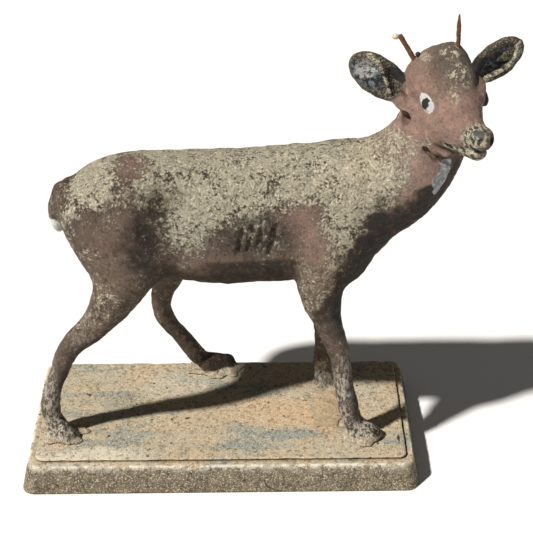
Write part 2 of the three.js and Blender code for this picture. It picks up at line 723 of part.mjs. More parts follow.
// Each rod stands out of the head at its foot, along its lean
const rightFoot = toWorld([283, -21, 626]);
const rightLean = new THREE.Vector3(-0.53, 0.20, 0.83).normalize();
const leftFoot = toWorld([341, -38, 651]);
const leftLean = new THREE.Vector3(-0.01, 0.10, 0.99).normalize();
const stubAside = new THREE.Vector3(0.80, -0.50, 0.33).normalize();
const stubFoot = rightFoot.clone().addScaledVector(stubAside, (RIGHT_ROD_DIAMETER + STUB_DIAMETER) / 2 + STUB_GAP);
const stubLean = new THREE.Vector3(-0.46, 0.16, 0.87).normalize();
const remnantLean = new THREE.Vector3(-0.98, 0.05, 0.03).normalize();

// A turned bar: rows of radius and height along its axis, from the axis back to the axis
function turned(rows, foot, lean, sides) {
  const lathe = new THREE.LatheGeometry(rows.map(([r, z]) => new THREE.Vector2(r, z)), sides);
  lathe.deleteAttribute("normal");
  lathe.deleteAttribute("uv");
  const geometry = mergeVertices(lathe, 1e-4);
  const quaternion = new THREE.Quaternion().setFromUnitVectors(new THREE.Vector3(0, 1, 0), lean);
  geometry.applyQuaternion(quaternion);
  geometry.translate(foot.x, foot.y, foot.z);
  return geometry;
}

function socket(diameter, depth, foot, lean) {
  const radius = diameter / 2 + CLEARANCE;
  const out = 60;
  return toManifold(turned([[0, -depth - CLEARANCE], [radius, -depth - CLEARANCE], [radius, out], [0, out]], foot, lean, 16));
}

function box(sizeX, sizeY, sizeZ, x, y, z) {
  const geometry = new THREE.BoxGeometry(sizeX, sizeY, sizeZ);
  geometry.translate(x, y, z);
  return toManifold(geometry);
}

function deerGeometry() {
  const depth = 80;
  const under = box(4 * FIGURE_HEIGHT, 4 * FIGURE_HEIGHT, depth, 0, 0, plinthHeight + CLEARANCE - depth / 2);
  return toGeometry(figureSolid()
    .subtract(under)
    .subtract(socket(RIGHT_ROD_DIAMETER, ROD_SET_IN, rightFoot, rightLean))
    .subtract(socket(LEFT_ROD_DIAMETER, ROD_SET_IN, leftFoot, leftLean))
    .subtract(socket(STUB_DIAMETER, STUB_SET_IN, stubFoot, stubLean)));
}

function rightRodGeometry() {
  const radius = RIGHT_ROD_DIAMETER / 2;
  const top = RIGHT_ROD_SHOWING;
  return turned([[0, -ROD_SET_IN], [radius, -ROD_SET_IN], [radius, top - 1], [radius - 1, top], [0, top]],
    rightFoot, rightLean, 14);
}

function leftRodGeometry() {
  const radius = LEFT_ROD_DIAMETER / 2;
  const top = LEFT_ROD_SHOWING;
  return turned([[0, -ROD_SET_IN], [radius, -ROD_SET_IN], [radius, top - LEFT_ROD_POINT], [radius * 0.72, top - LEFT_ROD_POINT * 0.4],
    [radius * 0.3, top], [0, top]], leftFoot, leftLean, 14);
}

function stubGeometry() {
  const radius = STUB_DIAMETER / 2;
  return turned([[0, -STUB_SET_IN], [radius, -STUB_SET_IN], [radius, STUB_SHOWING - 1.2], [radius - 1, STUB_SHOWING], [0, STUB_SHOWING]],
    stubFoot, stubLean, 12);
}

// The lump clings to the side of the right rod, just below its end
function remnantGeometry() {
  const start = rightFoot.clone().addScaledVector(rightLean, RIGHT_ROD_SHOWING - REMNANT_DROP)
    .addScaledVector(remnantLean, RIGHT_ROD_DIAMETER / 4);
  const radius = REMNANT_DIAMETER / 2;
  const lump = turned([[0, 0], [radius * 0.85, 0], [radius, REMNANT_LENGTH * 0.3], [radius * 0.93, REMNANT_LENGTH * 0.7],
    [radius * 0.5, REMNANT_LENGTH], [0, REMNANT_LENGTH]], start, remnantLean, 12);
  return toGeometry(toManifold(lump).subtract(socket(RIGHT_ROD_DIAMETER, 0, rightFoot, rightLean)));
}

const material = (color, roughness, metalness = 0) => new THREE.MeshStandardMaterial({ color, roughness, metalness });

const statue = new THREE.Group();
for (const [name, geometry, look] of [
  ["plinth", plinthGeometry(), material(0xa39a80, 0.95)],
  ["deer_figure", deerGeometry(), material(0x8a7768, 0.92)],
  ["antler_rod_right", rightRodGeometry(), material(0x4d3027, 0.85, 0.55)],
  ["antler_rod_left", leftRodGeometry(), material(0x53352a, 0.85, 0.55)],
  ["rod_stub_right", stubGeometry(), material(0x221d1b, 0.8, 0.5)],
  ["antler_remnant_right", remnantGeometry(), material(0xd8cdb2, 0.95)],
]) {
  const mesh = new THREE.Mesh(geometry, look);
  mesh.name = name;
  statue.add(mesh);
}

export default statue;
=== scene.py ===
# A weathered concrete deer garden statue on its stepped plinth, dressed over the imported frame.
# Metres. +X is the way the body faces, +Y its left side, +Z up, as in the frame.
import math

import bpy
import numpy as np
from mathutils import Matrix, Vector


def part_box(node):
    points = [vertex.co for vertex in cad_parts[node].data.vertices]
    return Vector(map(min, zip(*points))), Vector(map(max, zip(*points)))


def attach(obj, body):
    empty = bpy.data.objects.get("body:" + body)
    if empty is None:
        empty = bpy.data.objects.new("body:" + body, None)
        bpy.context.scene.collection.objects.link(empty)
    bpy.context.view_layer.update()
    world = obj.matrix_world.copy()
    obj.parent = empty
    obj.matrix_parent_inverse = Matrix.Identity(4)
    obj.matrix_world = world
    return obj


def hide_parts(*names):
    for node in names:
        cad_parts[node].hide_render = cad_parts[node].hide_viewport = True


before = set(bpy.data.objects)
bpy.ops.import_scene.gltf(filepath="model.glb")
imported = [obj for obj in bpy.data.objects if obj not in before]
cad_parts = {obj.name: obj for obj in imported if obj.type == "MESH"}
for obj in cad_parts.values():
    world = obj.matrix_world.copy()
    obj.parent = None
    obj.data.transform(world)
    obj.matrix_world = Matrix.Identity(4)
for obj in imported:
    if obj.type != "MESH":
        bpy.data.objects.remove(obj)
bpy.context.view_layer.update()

MM = 0.001
PLINTH_LOW, PLINTH_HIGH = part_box("plinth")
PLINTH_TOP = PLINTH_HIGH.z
CLEARANCE = 0.3  # mm, the gap that the frame keeps between neighbours

# Camera of the photograph, as a standing person holds it
CAMERA_PLACE = (0.063, -1.844, 1.460)
CAMERA_PITCH = 31.6
CAMERA_YAW = 0.36
CAMERA_ROLL = -0.35
CAMERA_LENS = 94.56
CAMERA_SENSOR = 36

# Light of the photograph: a key from the upper left front, and a fill from all round
KEY_FROM = (-0.74, -0.42, 1.0)
KEY_STRENGTH = 5.4
KEY_SOFTNESS = 3
KEY_COLOUR = (1.0, 0.965, 0.90)
FILL_STRENGTH = 0.10
FILL_COLOUR = (1.0, 0.96, 0.90)
FLOOR_HALF = 12

# The figure's grid, in mm: its box, its fineness, and where the finer cells of the head and ears begin
GRID_LOW = (-312, -182, -13)
GRID_HIGH = (466, 150, 686)
BODY_CELL = 3.5
HEAD_CELL = 1.8
ACROSS_CELL = 2.8
HEAD_FROM_X = 262
HEAD_FROM_Z = 480
EMPTY = 60.0  # mm, what the field holds far from any solid
MARGIN = 10  # mm, how far past its blend a solid is worked out
NUDGE = 0.05  # mm, the depth of a grid point that has changed side
SETTLE_ROUNDS = 8

CORNERS = list(np.ndindex(2, 2, 2))
STRAIGHT = ((1, 0, 0), (0, 1, 0), (0, 0, 1))


def unit(v):
    v = np.asarray(v, float)
    return v / np.linalg.norm(v)


# Smooth noise in space, the same each run


class Noise:
    def __init__(self, seed, size=32):
        self.size = size
        self.values = np.random.default_rng(seed).uniform(-1, 1, (size, size, size))

    def __call__(self, points, scale):
        p = points / scale
        base = np.floor(p).astype(int)
        t = p - base
        t = t * t * (3 - 2 * t)
        total = np.zeros(len(p))
        for corner in CORNERS:
            share = np.prod(np.where(np.array(corner) == 1, t, 1 - t), axis=1)
            i, j, k = ((base + corner) % self.size).T
            total += share * self.values[i, j, k]
        return total

    def layers(self, points, scale, count):
        """A sum of ever finer noise, each layer half as strong as the one before."""
        total = np.zeros(len(points))
        for n in range(count):
            shift = 7.3 * n + 3.1
            total += self(points + shift, scale / 2**n) / 2**n
        return total


# A field over a grid: solids are blended into it or carved out of it, and its zero surface becomes the mesh


def graded(low, change, high, first, second):
    """Grid places from low to high: steps of first up to change, then steps of second."""
    before = np.arange(low, change, first)
    return np.concatenate([before, np.arange(before[-1] + second, high + second, second)])


def window(values, corner, shape):
    """The part of a grid that starts at a corner and has the given shape."""
    return values[tuple(slice(c, c + n) for c, n in zip(corner, shape))]


class Sculpture:
    def __init__(self, axes):
        self.axes = [a.astype(np.float32) for a in axes]
        self.field = np.full([len(a) for a in axes], EMPTY, np.float32)

    def span(self, low, high, reach):
        return tuple(
            slice(*np.searchsorted(axis, (low[i] - reach, high[i] + reach)))
            for i, axis in enumerate(self.axes)
        )

    def places(self, span):
        x, y, z = (axis[s] for axis, s in zip(self.axes, span))
        return x[:, None, None], y[None, :, None], z[None, None, :]

    def apply(self, solid, blend, sign):
        reach = blend + MARGIN
        span = self.span(solid["low"], solid["high"], reach)
        old = self.field[span]
        if "bones" in solid:
            sheet = np.full(old.shape, EMPTY, np.float32)
            for part in solid["bones"]:
                inner = self.span(part["low"], part["high"], reach)
                local = tuple(slice(i.start - o.start, i.stop - o.start) for i, o in zip(inner, span))
                sheet[local] = np.minimum(sheet[local], part["distance"](*self.places(inner)))
        else:
            sheet = solid["distance"](*self.places(span)).astype(np.float32)
        value = sign * sheet
        h = np.clip(0.5 + sign * 0.5 * (old - value) / blend, 0, 1)
        self.field[span] = old + (value - old) * h - sign * blend * h * (1 - h)

    def join(self, solid, blend):
        self.apply(solid, blend, 1)

    def carve(self, solid, blend):
        self.apply(solid, blend, -1)

    def flip_weakest(self, places):
        """Of some grid points, the one nearest the surface changes side."""
        weakest = min(places, key=lambda p: abs(self.field[p]))
        self.field[weakest] = NUDGE if self.field[weakest] < 0 else -NUDGE

    def settle(self):
        """Where two opposite corners of a grid square or cube stand alone, the weakest changes side."""
        for _ in range(SETTLE_ROUNDS):
            changed = self.settle_cubes()
            for first, second in ((0, 1), (1, 2), (2, 0)):
                step = np.eye(3, dtype=int)
                corners = [np.zeros(3, int), step[first], step[second], step[first] + step[second]]
                shape = np.array(self.field.shape) - corners[3]
                views = [window(self.field, c, shape) < 0 for c in corners]
                crossed = (views[0] == views[3]) & (views[1] == views[2]) & (views[0] != views[1])
                squares = np.argwhere(crossed)
                for square in squares:
                    self.flip_weakest([tuple(square + c) for c in corners])
                changed += len(squares)
            if not changed:
                return

    def settle_cubes(self):
        """Settles the cubes, and gives how many points changed side."""
        inside = self.field < 0
        shape = np.array(inside.shape) - 1
        views = {c: window(inside, c, shape) for c in CORNERS}
        count = sum(view.astype(np.int8) for view in views.values())
        changed = 0
        for corner in CORNERS[:4]:
            opposite = tuple(1 - v for v in corner)
            alone = (count == 2) & views[corner] & views[opposite]
            alone |= (count == 6) & ~views[corner] & ~views[opposite]
            cells = np.argwhere(alone)
            for cell in cells:
                self.flip_weakest([tuple(cell + corner), tuple(cell + opposite)])
            changed += len(cells)
        return changed

    def mesh(self):
        """One vertex in each cell that the surface crosses, one quad across each grid edge that it cuts."""
        self.settle()
        field = self.field
        inside = field < 0
        cells_along = np.array(field.shape) - 1
        total = sum(window(inside, c, cells_along).astype(np.int8) for c in CORNERS)
        cells = np.argwhere((total > 0) & (total < 8))
        index = np.full(cells_along, -1, np.int32)
        index[tuple(cells.T)] = np.arange(len(cells))
        values = {c: field[tuple((cells + c).T)] for c in CORNERS}
        summed = np.zeros((len(cells), 3))
        hits = np.zeros(len(cells))
        for c in CORNERS:
            for axis in range(3):
                if c[axis]:
                    continue
                end = tuple(1 if i == axis else c[i] for i in range(3))
                a, b = values[c], values[end]
                cut = (a < 0) != (b < 0)
                place = np.tile(np.array(c, float), (len(cells), 1))
                place[:, axis] += np.where(cut, a / np.where(cut, a - b, 1), 0)
                summed[cut] += place[cut]
                hits[cut] += 1
        spots = cells + summed / hits[:, None]
        points = np.stack([np.interp(spots[:, i], np.arange(len(a)), a) for i, a in enumerate(self.axes)], 1)
        quads = []
        for axis in range(3):
            around = [(axis + 1) % 3, (axis + 2) % 3]
            starts = np.take(inside, range(inside.shape[axis] - 1), axis)
            ends = np.take(inside, range(1, inside.shape[axis]), axis)
            edges = np.argwhere(starts != ends)
            beside = edges[:, around]
            edges = edges[((beside > 0) & (beside < cells_along[around])).all(axis=1)]
            ring = []
            for back in ((1, 1), (0, 1), (0, 0), (1, 0)):
                cell = edges.copy()
                cell[:, around] -= back
                ring.append(index[tuple(cell.T)])
            ring = np.stack(ring, 1)
            outward = starts[tuple(edges.T)]
            ring[~outward] = ring[~outward][:, ::-1]
            quads.append(ring)
        return points, np.concatenate(quads)


def ball(centre, radii, axes=STRAIGHT):
    c = np.array(centre, float)
    r = np.array(radii, float)
    m = np.array(axes, float)

    def distance(x, y, z):
        d = (x - c[0], y - c[1], z - c[2])
        q = [(d[0] * a[0] + d[1] * a[1] + d[2] * a[2]) / s for a, s in zip(m, r)]
        near = np.sqrt(q[0] ** 2 + q[1] ** 2 + q[2] ** 2)
        slope = np.sqrt(sum((v / s) ** 2 for v, s in zip(q, r)))
        return near * (near - 1) / np.maximum(slope, 1e-9)

    return {"distance": distance, "low": c - r.max(), "high": c + r.max()}


def bone(a, b, start_radius, end_radius, flat=1.0, side=(0, 1, 0)):
    """A tapering bar with round ends; flat thins it along the side direction."""
    a = np.array(a, float)
    b = np.array(b, float)
    s = unit(side)
    press = 1 / flat - 1
    along = b - a + s * ((b - a) @ s) * press
    square = along @ along

    def distance(x, y, z):
        d = [x - a[0], y - a[1], z - a[2]]
        more = (d[0] * s[0] + d[1] * s[1] + d[2] * s[2]) * press
        d = [d[i] + s[i] * more for i in range(3)]
        t = np.clip((d[0] * along[0] + d[1] * along[1] + d[2] * along[2]) / square, 0, 1)
        far = np.sqrt(sum((d[i] - t * along[i]) ** 2 for i in range(3)))
        return (far - start_radius - (end_radius - start_radius) * t) * min(1.0, flat)

    reach = max(start_radius, end_radius)
    return {"distance": distance, "low": np.minimum(a, b) - reach, "high": np.maximum(a, b) + reach}


def spline(rows, steps):
    """A smooth curve through rows of numbers."""
    p = np.array(rows, float)
    p = np.vstack([2 * p[0] - p[1], p, 2 * p[-1] - p[-2]])
    out = []
    for i in range(1, len(p) - 2):
        a, b, c, d = p[i - 1 : i + 3]
        for t in np.arange(steps) / steps:
            curve = (
                2 * b + (c - a) * t + (2 * a - 5 * b + 4 * c - d) * t**2
                + (3 * b - a - 3 * c + d) * t**3
            )
            out.append(0.5 * curve)
    out.append(p[-2])
    return np.array(out)


def limb(rows, steps=6, flat=1.0, side=(0, 1, 0)):
    """Rows of x, y, z, radius make one smooth tapering limb."""
    line = spline(rows, steps)
    bones = [bone(a[:3], b[:3], a[3], b[3], flat, side) for a, b in zip(line[:-1], line[1:])]
    low = np.min([part["low"] for part in bones], axis=0)
    high = np.max([part["high"] for part in bones], axis=0)
    return {"bones": bones, "low": low, "high": high}


def loft(rows, power):
    """Rows of x, middle y, middle z, half width, half height: a body with oval sections across X."""
    line = spline(rows, 6)
    first, last = line[0][0], line[-1][0]

    def distance(x, y, z):
        held = np.clip(x, first, last)
        mid_y, mid_z, half, tall = (np.interp(held, line[:, 0], line[:, i]) for i in (1, 2, 3, 4))
        q = (np.abs((y - mid_y) / half) ** power + np.abs((z - mid_z) / tall) ** power) ** (1 / power)
        flat = (q - 1) * np.minimum(half, tall)
        over = np.maximum(np.abs(x - (first + last) / 2) - (last - first) / 2, 0)
        return np.where(over > 0, np.hypot(np.maximum(flat, 0), over), flat)

    low = [first, (line[:, 1] - line[:, 3]).min(), (line[:, 2] - line[:, 4]).min()]
    high = [last, (line[:, 1] + line[:, 3]).max(), (line[:, 2] + line[:, 4]).max()]
    return {"distance": distance, "low": np.array(low), "high": np.array(high)}


# The head looks out over the right shoulder: turned from the body, nose a little down, tipped slightly
TURN, NOD, TIP = (math.radians(a) for a in (25, 18, 4))
NOSE_WAY = np.array([math.sin(TURN) * math.cos(NOD), -math.cos(TURN) * math.cos(NOD), -math.sin(NOD)])
LEVEL = np.array([math.cos(TURN), math.sin(TURN), 0])
UPRIGHT = np.cross(NOSE_WAY, LEVEL)
LEFT_WAY = LEVEL * math.cos(TIP) - UPRIGHT * math.sin(TIP)
CROWN_WAY = UPRIGHT * math.cos(TIP) + LEVEL * math.sin(TIP)
HEAD_AXES = (NOSE_WAY, LEFT_WAY, CROWN_WAY)
BETWEEN_EYES = np.array([341, -69, 588])


def head(forward, left, up):
    return BETWEEN_EYES + forward * NOSE_WAY + left * LEFT_WAY + up * CROWN_WAY


def head_ball(place, radii):
    return ball(head(*place), radii, HEAD_AXES)


def head_limb(rows, *settings):
    """A limb whose rows are in the head's own directions."""
    return limb([[*head(*place), radius] for *place, radius in rows], *settings)


def add_hoof(s, heel, toe):
    heel = np.array(heel, float)
    toe = np.array(toe, float)
    ahead = unit([toe[0] - heel[0], toe[1] - heel[1], 0])
    aside = np.array([-ahead[1], ahead[0], 0])
    s.join(bone(heel, toe + [0, 0, 9], 16, 12), 8)
    for k in (1, -1):
        s.join(bone(heel + 6 * k * aside - [0, 0, 8], toe + 6 * k * aside + [0, 0, 6], 11, 9), 4)


# Each ear: its stem's root, its root, its tip, the way its hollow faces, and its length, width, thickness
EARS = (
    ((308, -34, 572), (292, -30, 560), (193, -16, 630), (0.25, -0.9, -0.25), 98, 58, 13),
    ((346, -10, 580), (364, 13, 575), (441, 34, 625), (0.1, -0.95, -0.1), 90, 56, 13),
)


def ear_axes(root, end, facing):
    along = unit(end - root)
    out = unit(facing - along * np.dot(facing, along))
    return along, np.cross(out, along), out


# The ridge along the edge of each ear's hollow, as mm along the ear and across it from the ear's middle
EAR_RIDGES = (
    ((30, -21), (18, -19), (6, -14), (-10, -4), (-25, 6)),
    ((35, 5), (26, -8), (9, -15), (-10, -14), (-28, -11)),
)
RIDGE_OUT = 7  # mm, how far out of the hollow the ridge stands
EAR_MIDDLE = 0.58  # share of the way from an ear's root to its tip


def ear_middle(ear):
    _, root, end, facing, *_ = ear
    root = np.array(root, float)
    end = np.array(end, float)
    return root + EAR_MIDDLE * (end - root), ear_axes(root, end, facing)


def ear_place(ear, along, across, out):
    """A point of an ear, in mm along it, across it and out of its hollow, from its middle."""
    middle, axes = ear_middle(ear)
    return middle + along * axes[0] + across * axes[1] + out * axes[2]


def add_ear(s, ear, ridge):
    stem, root, end, _, length, width, thick = ear
    root = np.array(root, float)
    middle, axes = ear_middle(ear)
    out = axes[2]
    s.join(limb([[*stem, 23], [*root, 19], [*(root + 0.35 * (end - root)), 12]], 5), 9)
    s.join(ball(middle, [length / 2, width / 2, thick], axes), 6)
    s.carve(ball(middle + out * thick * 0.82, [length * 0.41, width * 0.4, thick * 0.95], axes), 3)
    s.carve(bone(root + 12 * out, middle + 10 * out, 4, 9), 4)
    s.join(limb([[*ear_place(ear, *spot, RIDGE_OUT), 3.2] for spot in ridge], 4), 3)


def add_trunk(s):
    s.join(loft([
        [-240, 6, 390, 16, 15], [-232, 7, 386, 40, 32], [-214, 8, 375, 57, 50], [-180, 8, 373, 67, 75],
        [-130, 8, 369, 72, 93], [-70, 7, 364, 73, 101], [-10, 6, 360, 75, 107], [50, 5, 362, 76, 107],
        [110, 3, 367, 74, 108], [165, 0, 376, 70, 100], [215, -4, 386, 62, 80], [250, -8, 392, 44, 54],
        [262, -8, 392, 26, 34],
    ], 2.2), 10)
    s.join(ball([206, -6, 350], [56, 50, 60]), 22)
    s.join(limb([
        [205, -2, 404, 80], [245, -10, 420, 75], [280, -20, 452, 67], [304, -30, 493, 58],
        [316, -36, 535, 52], [322, -34, 575, 42],
    ], 8, 0.86, [0.35, 0.93, 0]), 20)
    s.join(limb([[-232, 6, 410, 12], [-240, 0, 385, 13], [-241, -2, 362, 11], [-239, -2, 346, 6]]), 6)


# Middles of the eyes and of the brows over them, in the head's own directions: right, then left
EYES = ((-11, -39, -12), (2, 42, -6))
BROWS = ((-12, -35, 12), (-3, 34, 14))


def add_head(s):
    # the skull with its bumps, from the back of the crown to the brow
    for place, radii, blend in (
        ((-52, -6, -6), (42, 43, 35), 12), ((-59, -12, 21), (20, 18, 18), 14),
        ((-45, 20, 18), (20, 18, 18), 12), ((-48, 5, 35), (20, 18, 20), 18),
        ((-22, 6, 22), (26, 22, 20), 12), ((-8, -2, -6), (44, 40, 34), 12),
    ):
        s.join(head_ball(place, radii), blend)
    # muzzle, jaw and nose
    s.join(head_limb(
        ((14, -2, -10, 33), (36, -3, -13, 24), (54, -1, -15, 19.5), (70, 0, -15, 18.5)), 8, 0.84, LEFT_WAY,
    ), 12)
    s.join(head_limb(((-26, 0, -40, 34), (14, -1, -47, 27), (44, 0, -43, 18), (71, 3, -37, 13)), 8), 10)
    s.join(head_ball((73, 1, -13), (13, 17.5, 14.5)), 7)
    for brow in BROWS:
        k = math.copysign(1, brow[1])
        start = np.add(brow, (-14, 0, -4))
        end = np.add(brow, (16, -6 * k, -6))
        s.join(head_limb(((*start, 7), (*brow, 9), (*end, 6)), 4), 10)
        s.join(head_ball((2, 22 * k, -36), (38, 20, 34)), 10)
    s.join(head_ball((30, -14, -28), (34, 15, 22)), 10)
    # sockets, eyeballs and nostrils
    for forward, left, up in EYES:
        k = math.copysign(1, left)
        s.carve(head_ball((forward + 1, left + 7 * k, up), (19, 5, 16)), 4)
        s.join(head_ball((forward, left, up), (14, 8, 11)), 2)
        s.carve(head_ball((84, 9 * k, -7), (5, 5, 4)), 3)
    # the slit between the lips, round the front of the muzzle
    s.carve(head_limb((
        (36, -29, -50, 3), (55, -21, -41, 3), (73, -13, -31, 3), (88, 0, -25, 3),
        (73, 13, -31, 3), (55, 20, -41, 3), (36, 27, -50, 3),
    ), 4), 3)
    # the edge of the jaw over a crease, and the pocket behind the jaw under the right ear
    s.join(head_limb(((-4, -35, -52, 8), (14, -26, -65, 8), (30, -12, -73, 8)), 5), 6)
    s.carve(head_limb(((12, -36, -77, 4), (24, -22, -86, 4.5), (37, -6, -94, 6)), 4), 3)
    s.join(limb([[256, -36, 580, 9], [270, -46, 566, 10], [286, -54, 558, 10]], 4), 8)
    s.carve(head_ball((-32, -51, -53), (10, 12, 11)), 3)
    for ear, ridge in zip(EARS, EAR_RIDGES):
        add_ear(s, ear, ridge)


def leaning(x):
    return [unit([1, 0, x]), [0, 1, 0], unit([-x, 0, 1])]


# Each leg: shoulder or thigh and its lean, upper part with its thinness and blend, lower part, heel, toe
LEGS = (
    # right fore leg, nearest the looker
    (
        (176, -44, 358), (54, 30, 84), 0.3,
        ((166, -52, 330, 52), (156, -60, 288, 38), (157, -66, 256, 29)), 0.66, 16,
        ((156, -64, 280, 26), (158, -69, 252, 25), (166, -71, 221, 21.5), (176, -72, 190, 18.5),
         (187, -72, 154, 16), (194, -73, 103, 14.5), (202, -72, 59, 16), (209, -71, 30, 15)),
        (214, -70, 20), (242, -79, 0),
    ),
    # left fore leg
    (
        (180, 40, 355), (52, 28, 84), 0,
        ((176, 42, 325, 46), (168, 48, 280, 34), (165, 54, 240, 23)), 0.66, 16,
        ((168, 52, 270, 24), (165, 54, 235, 20), (164, 54, 190, 17), (165, 56, 134, 14), (168, 60, 89, 14),
         (168, 63, 51, 16), (170, 64, 28, 14)),
        (172, 64, 18), (198, 60, 0),
    ),
    # right hind leg, set back
    (
        (-152, -34, 352), (66, 40, 88), 0.45,
        ((-136, -38, 335, 62), (-142, -48, 290, 47), (-160, -60, 250, 31)), 0.64, 18,
        ((-150, -56, 272, 30), (-164, -62, 245, 28.5), (-190, -67, 211, 22.5), (-222, -66, 181, 18),
         (-240, -65, 152, 16), (-251, -63, 122, 14.5), (-264, -61, 88, 14), (-270, -60, 60, 15.5),
         (-270, -60, 36, 15)),
        (-264, -62, 20), (-244, -77, 0),
    ),
    # left hind leg, stepping under the belly
    (
        (-125, 40, 348), (66, 38, 84), 0,
        ((-104, 44, 325, 54), (-84, 54, 272, 38), (-84, 66, 220, 25)), 0.66, 18,
        ((-84, 62, 245, 26), (-86, 69, 212, 22), (-97, 77, 168, 17), (-92, 84, 125, 14.5),
         (-70, 92, 86, 13.5), (-50, 100, 48, 15), (-40, 105, 30, 14)),
        (-26, 110, 18), (8, 121, 0),
    ),
)


def add_legs(s):
    for middle, radii, lean, upper, flat, blend, lower, heel, toe in LEGS:
        s.join(ball(middle, radii, leaning(lean)), 18)
        s.join(limb(upper, 8, flat), blend)
        s.join(limb(lower), 8)
        add_hoof(s, heel, toe)


def add_carving(s):
    """Hollows of the flanks, creases at elbow and flank, the gouged ribs, and mortar round the feet."""
    for y in (-74, 88):
        s.carve(ball([-88, y, 402], [26, 15, 46]), 14)
    s.carve(limb([[118, -80, 345, 5], [110, -82, 318, 5], [104, -78, 296, 4]]), 8)
    s.carve(limb([[-60, -78, 340, 5], [-46, -76, 318, 5], [-30, -66, 296, 4]]), 8)
    for x, z in ((35, 355), (52, 368), (68, 381), (83, 363)):
        s.carve(bone([x - 5, -70, z - 25], [x + 5, -71, z + 22], 4, 5), 3)
    for middle, radii, blend in (
        ((224, -73, -1), (34, 26, 9), 8), ((-254, -62, -1), (30, 26, 9), 8), ((-12, 111, -1), (44, 22, 8), 8),
        ((176, 58, -1), (32, 26, 8), 8), ((170, 2, -3), (30, 64, 8), 10),
    ):
        s.join(ball(middle, radii), blend)


CRUMB_SEED = 77
CRUMBS_PER_MOUND = 26
BROAD_ROUGHNESS, FINE_ROUGHNESS = 0.9, 0.8  # mm


def add_crumbs(s):
    """Knobs of mortar scattered over the mounds, so that they end raggedly."""
    draws = np.random.default_rng(CRUMB_SEED)
    for x, y, length, width in (
        (224, -73, 36, 27), (-254, -62, 32, 27), (-12, 111, 46, 22), (176, 58, 34, 26), (172, -5, 34, 62),
    ):
        for _ in range(CRUMBS_PER_MOUND):
            angle = draws.uniform(0, 2 * math.pi)
            far = draws.uniform(0.45, 1.12)
            radius = draws.uniform(5, 10)
            place = [x + far * length * math.cos(angle), y + far * width * math.sin(angle), -0.45 * radius]
            s.join(ball(place, [radius * 1.3, radius, radius]), 3)


# Meshes


def add_mesh(name, points, faces, smooth=True):
    """A new object whose vertices are in the part's frame, in metres."""
    mesh = bpy.data.meshes.new(name)
    mesh.from_pydata([tuple(p) for p in points], [], [tuple(int(i) for i in f) for f in faces])
    mesh.update()
    mesh.polygons.foreach_set("use_smooth", [smooth] * len(mesh.polygons))
    thing = bpy.data.objects.new(name, mesh)
    bpy.context.scene.collection.objects.link(thing)
    return thing


def vertex_normals(points, quads):
    a, b, c, d = (points[quads[:, i]] for i in range(4))
    face = np.cross(c - a, d - b)
    normals = np.zeros_like(points)
    for i in range(4):
        np.add.at(normals, quads[:, i], face)
    return normals / np.maximum(np.linalg.norm(normals, axis=1), 1e-9)[:, None]


def figure_mesh():
    x_axis = graded(GRID_LOW[0], HEAD_FROM_X, GRID_HIGH[0], BODY_CELL, HEAD_CELL)
    y_axis = np.arange(GRID_LOW[1], GRID_HIGH[1], ACROSS_CELL)
    z_axis = graded(GRID_LOW[2], HEAD_FROM_Z, GRID_HIGH[2], BODY_CELL, HEAD_CELL)
    s = Sculpture([x_axis, y_axis, z_axis])
    add_trunk(s)
    add_head(s)
    add_legs(s)
    add_carving(s)
    add_crumbs(s)
    below = np.broadcast_to(CLEARANCE - s.places((slice(None),) * 3)[2], s.field.shape)
    s.field = np.maximum(s.field, below).astype(np.float32)
    points, quads = s.mesh()
    rough = Noise(5)
    lumps = BROAD_ROUGHNESS * rough.layers(points, 26, 2) + FINE_ROUGHNESS * rough.layers(points, 9, 2)
    calm = np.clip((points[:, 2] - CLEARANCE - 1) / 6, 0, 1)
    normals = vertex_normals(points, quads)
    points = points + normals * (lumps * calm)[:, None]
    points[:, 2] = np.maximum(points[:, 2], CLEARANCE)
    return points, quads, normals


def soft_oval(points, centre, radii, soft=0.6):
    """1 well inside an oval, falling smoothly to 0 outside it."""
    far = np.linalg.norm((points - np.array(centre)) / np.array(radii), axis=1)
    t = np.clip((1 + soft - far) / (2 * soft), 0, 1)
    return t * t * (3 - 2 * t)


def ovals(points, rows):
    """The sum of many soft ovals, each with its middle, radii and share."""
    return sum(share * soft_oval(points, centre, radii) for centre, radii, share in rows)


def rise(values, low, high):
    """0 at low, 1 at high, smooth between and level beyond."""
    t = np.clip((values - low) / (high - low), 0, 1)
    return t * t * (3 - 2 * t)


def set_attribute(thing, name, values):
    attribute = thing.data.attributes.new(name, "FLOAT", "POINT")
    attribute.data.foreach_set("value", np.asarray(values, np.float32))


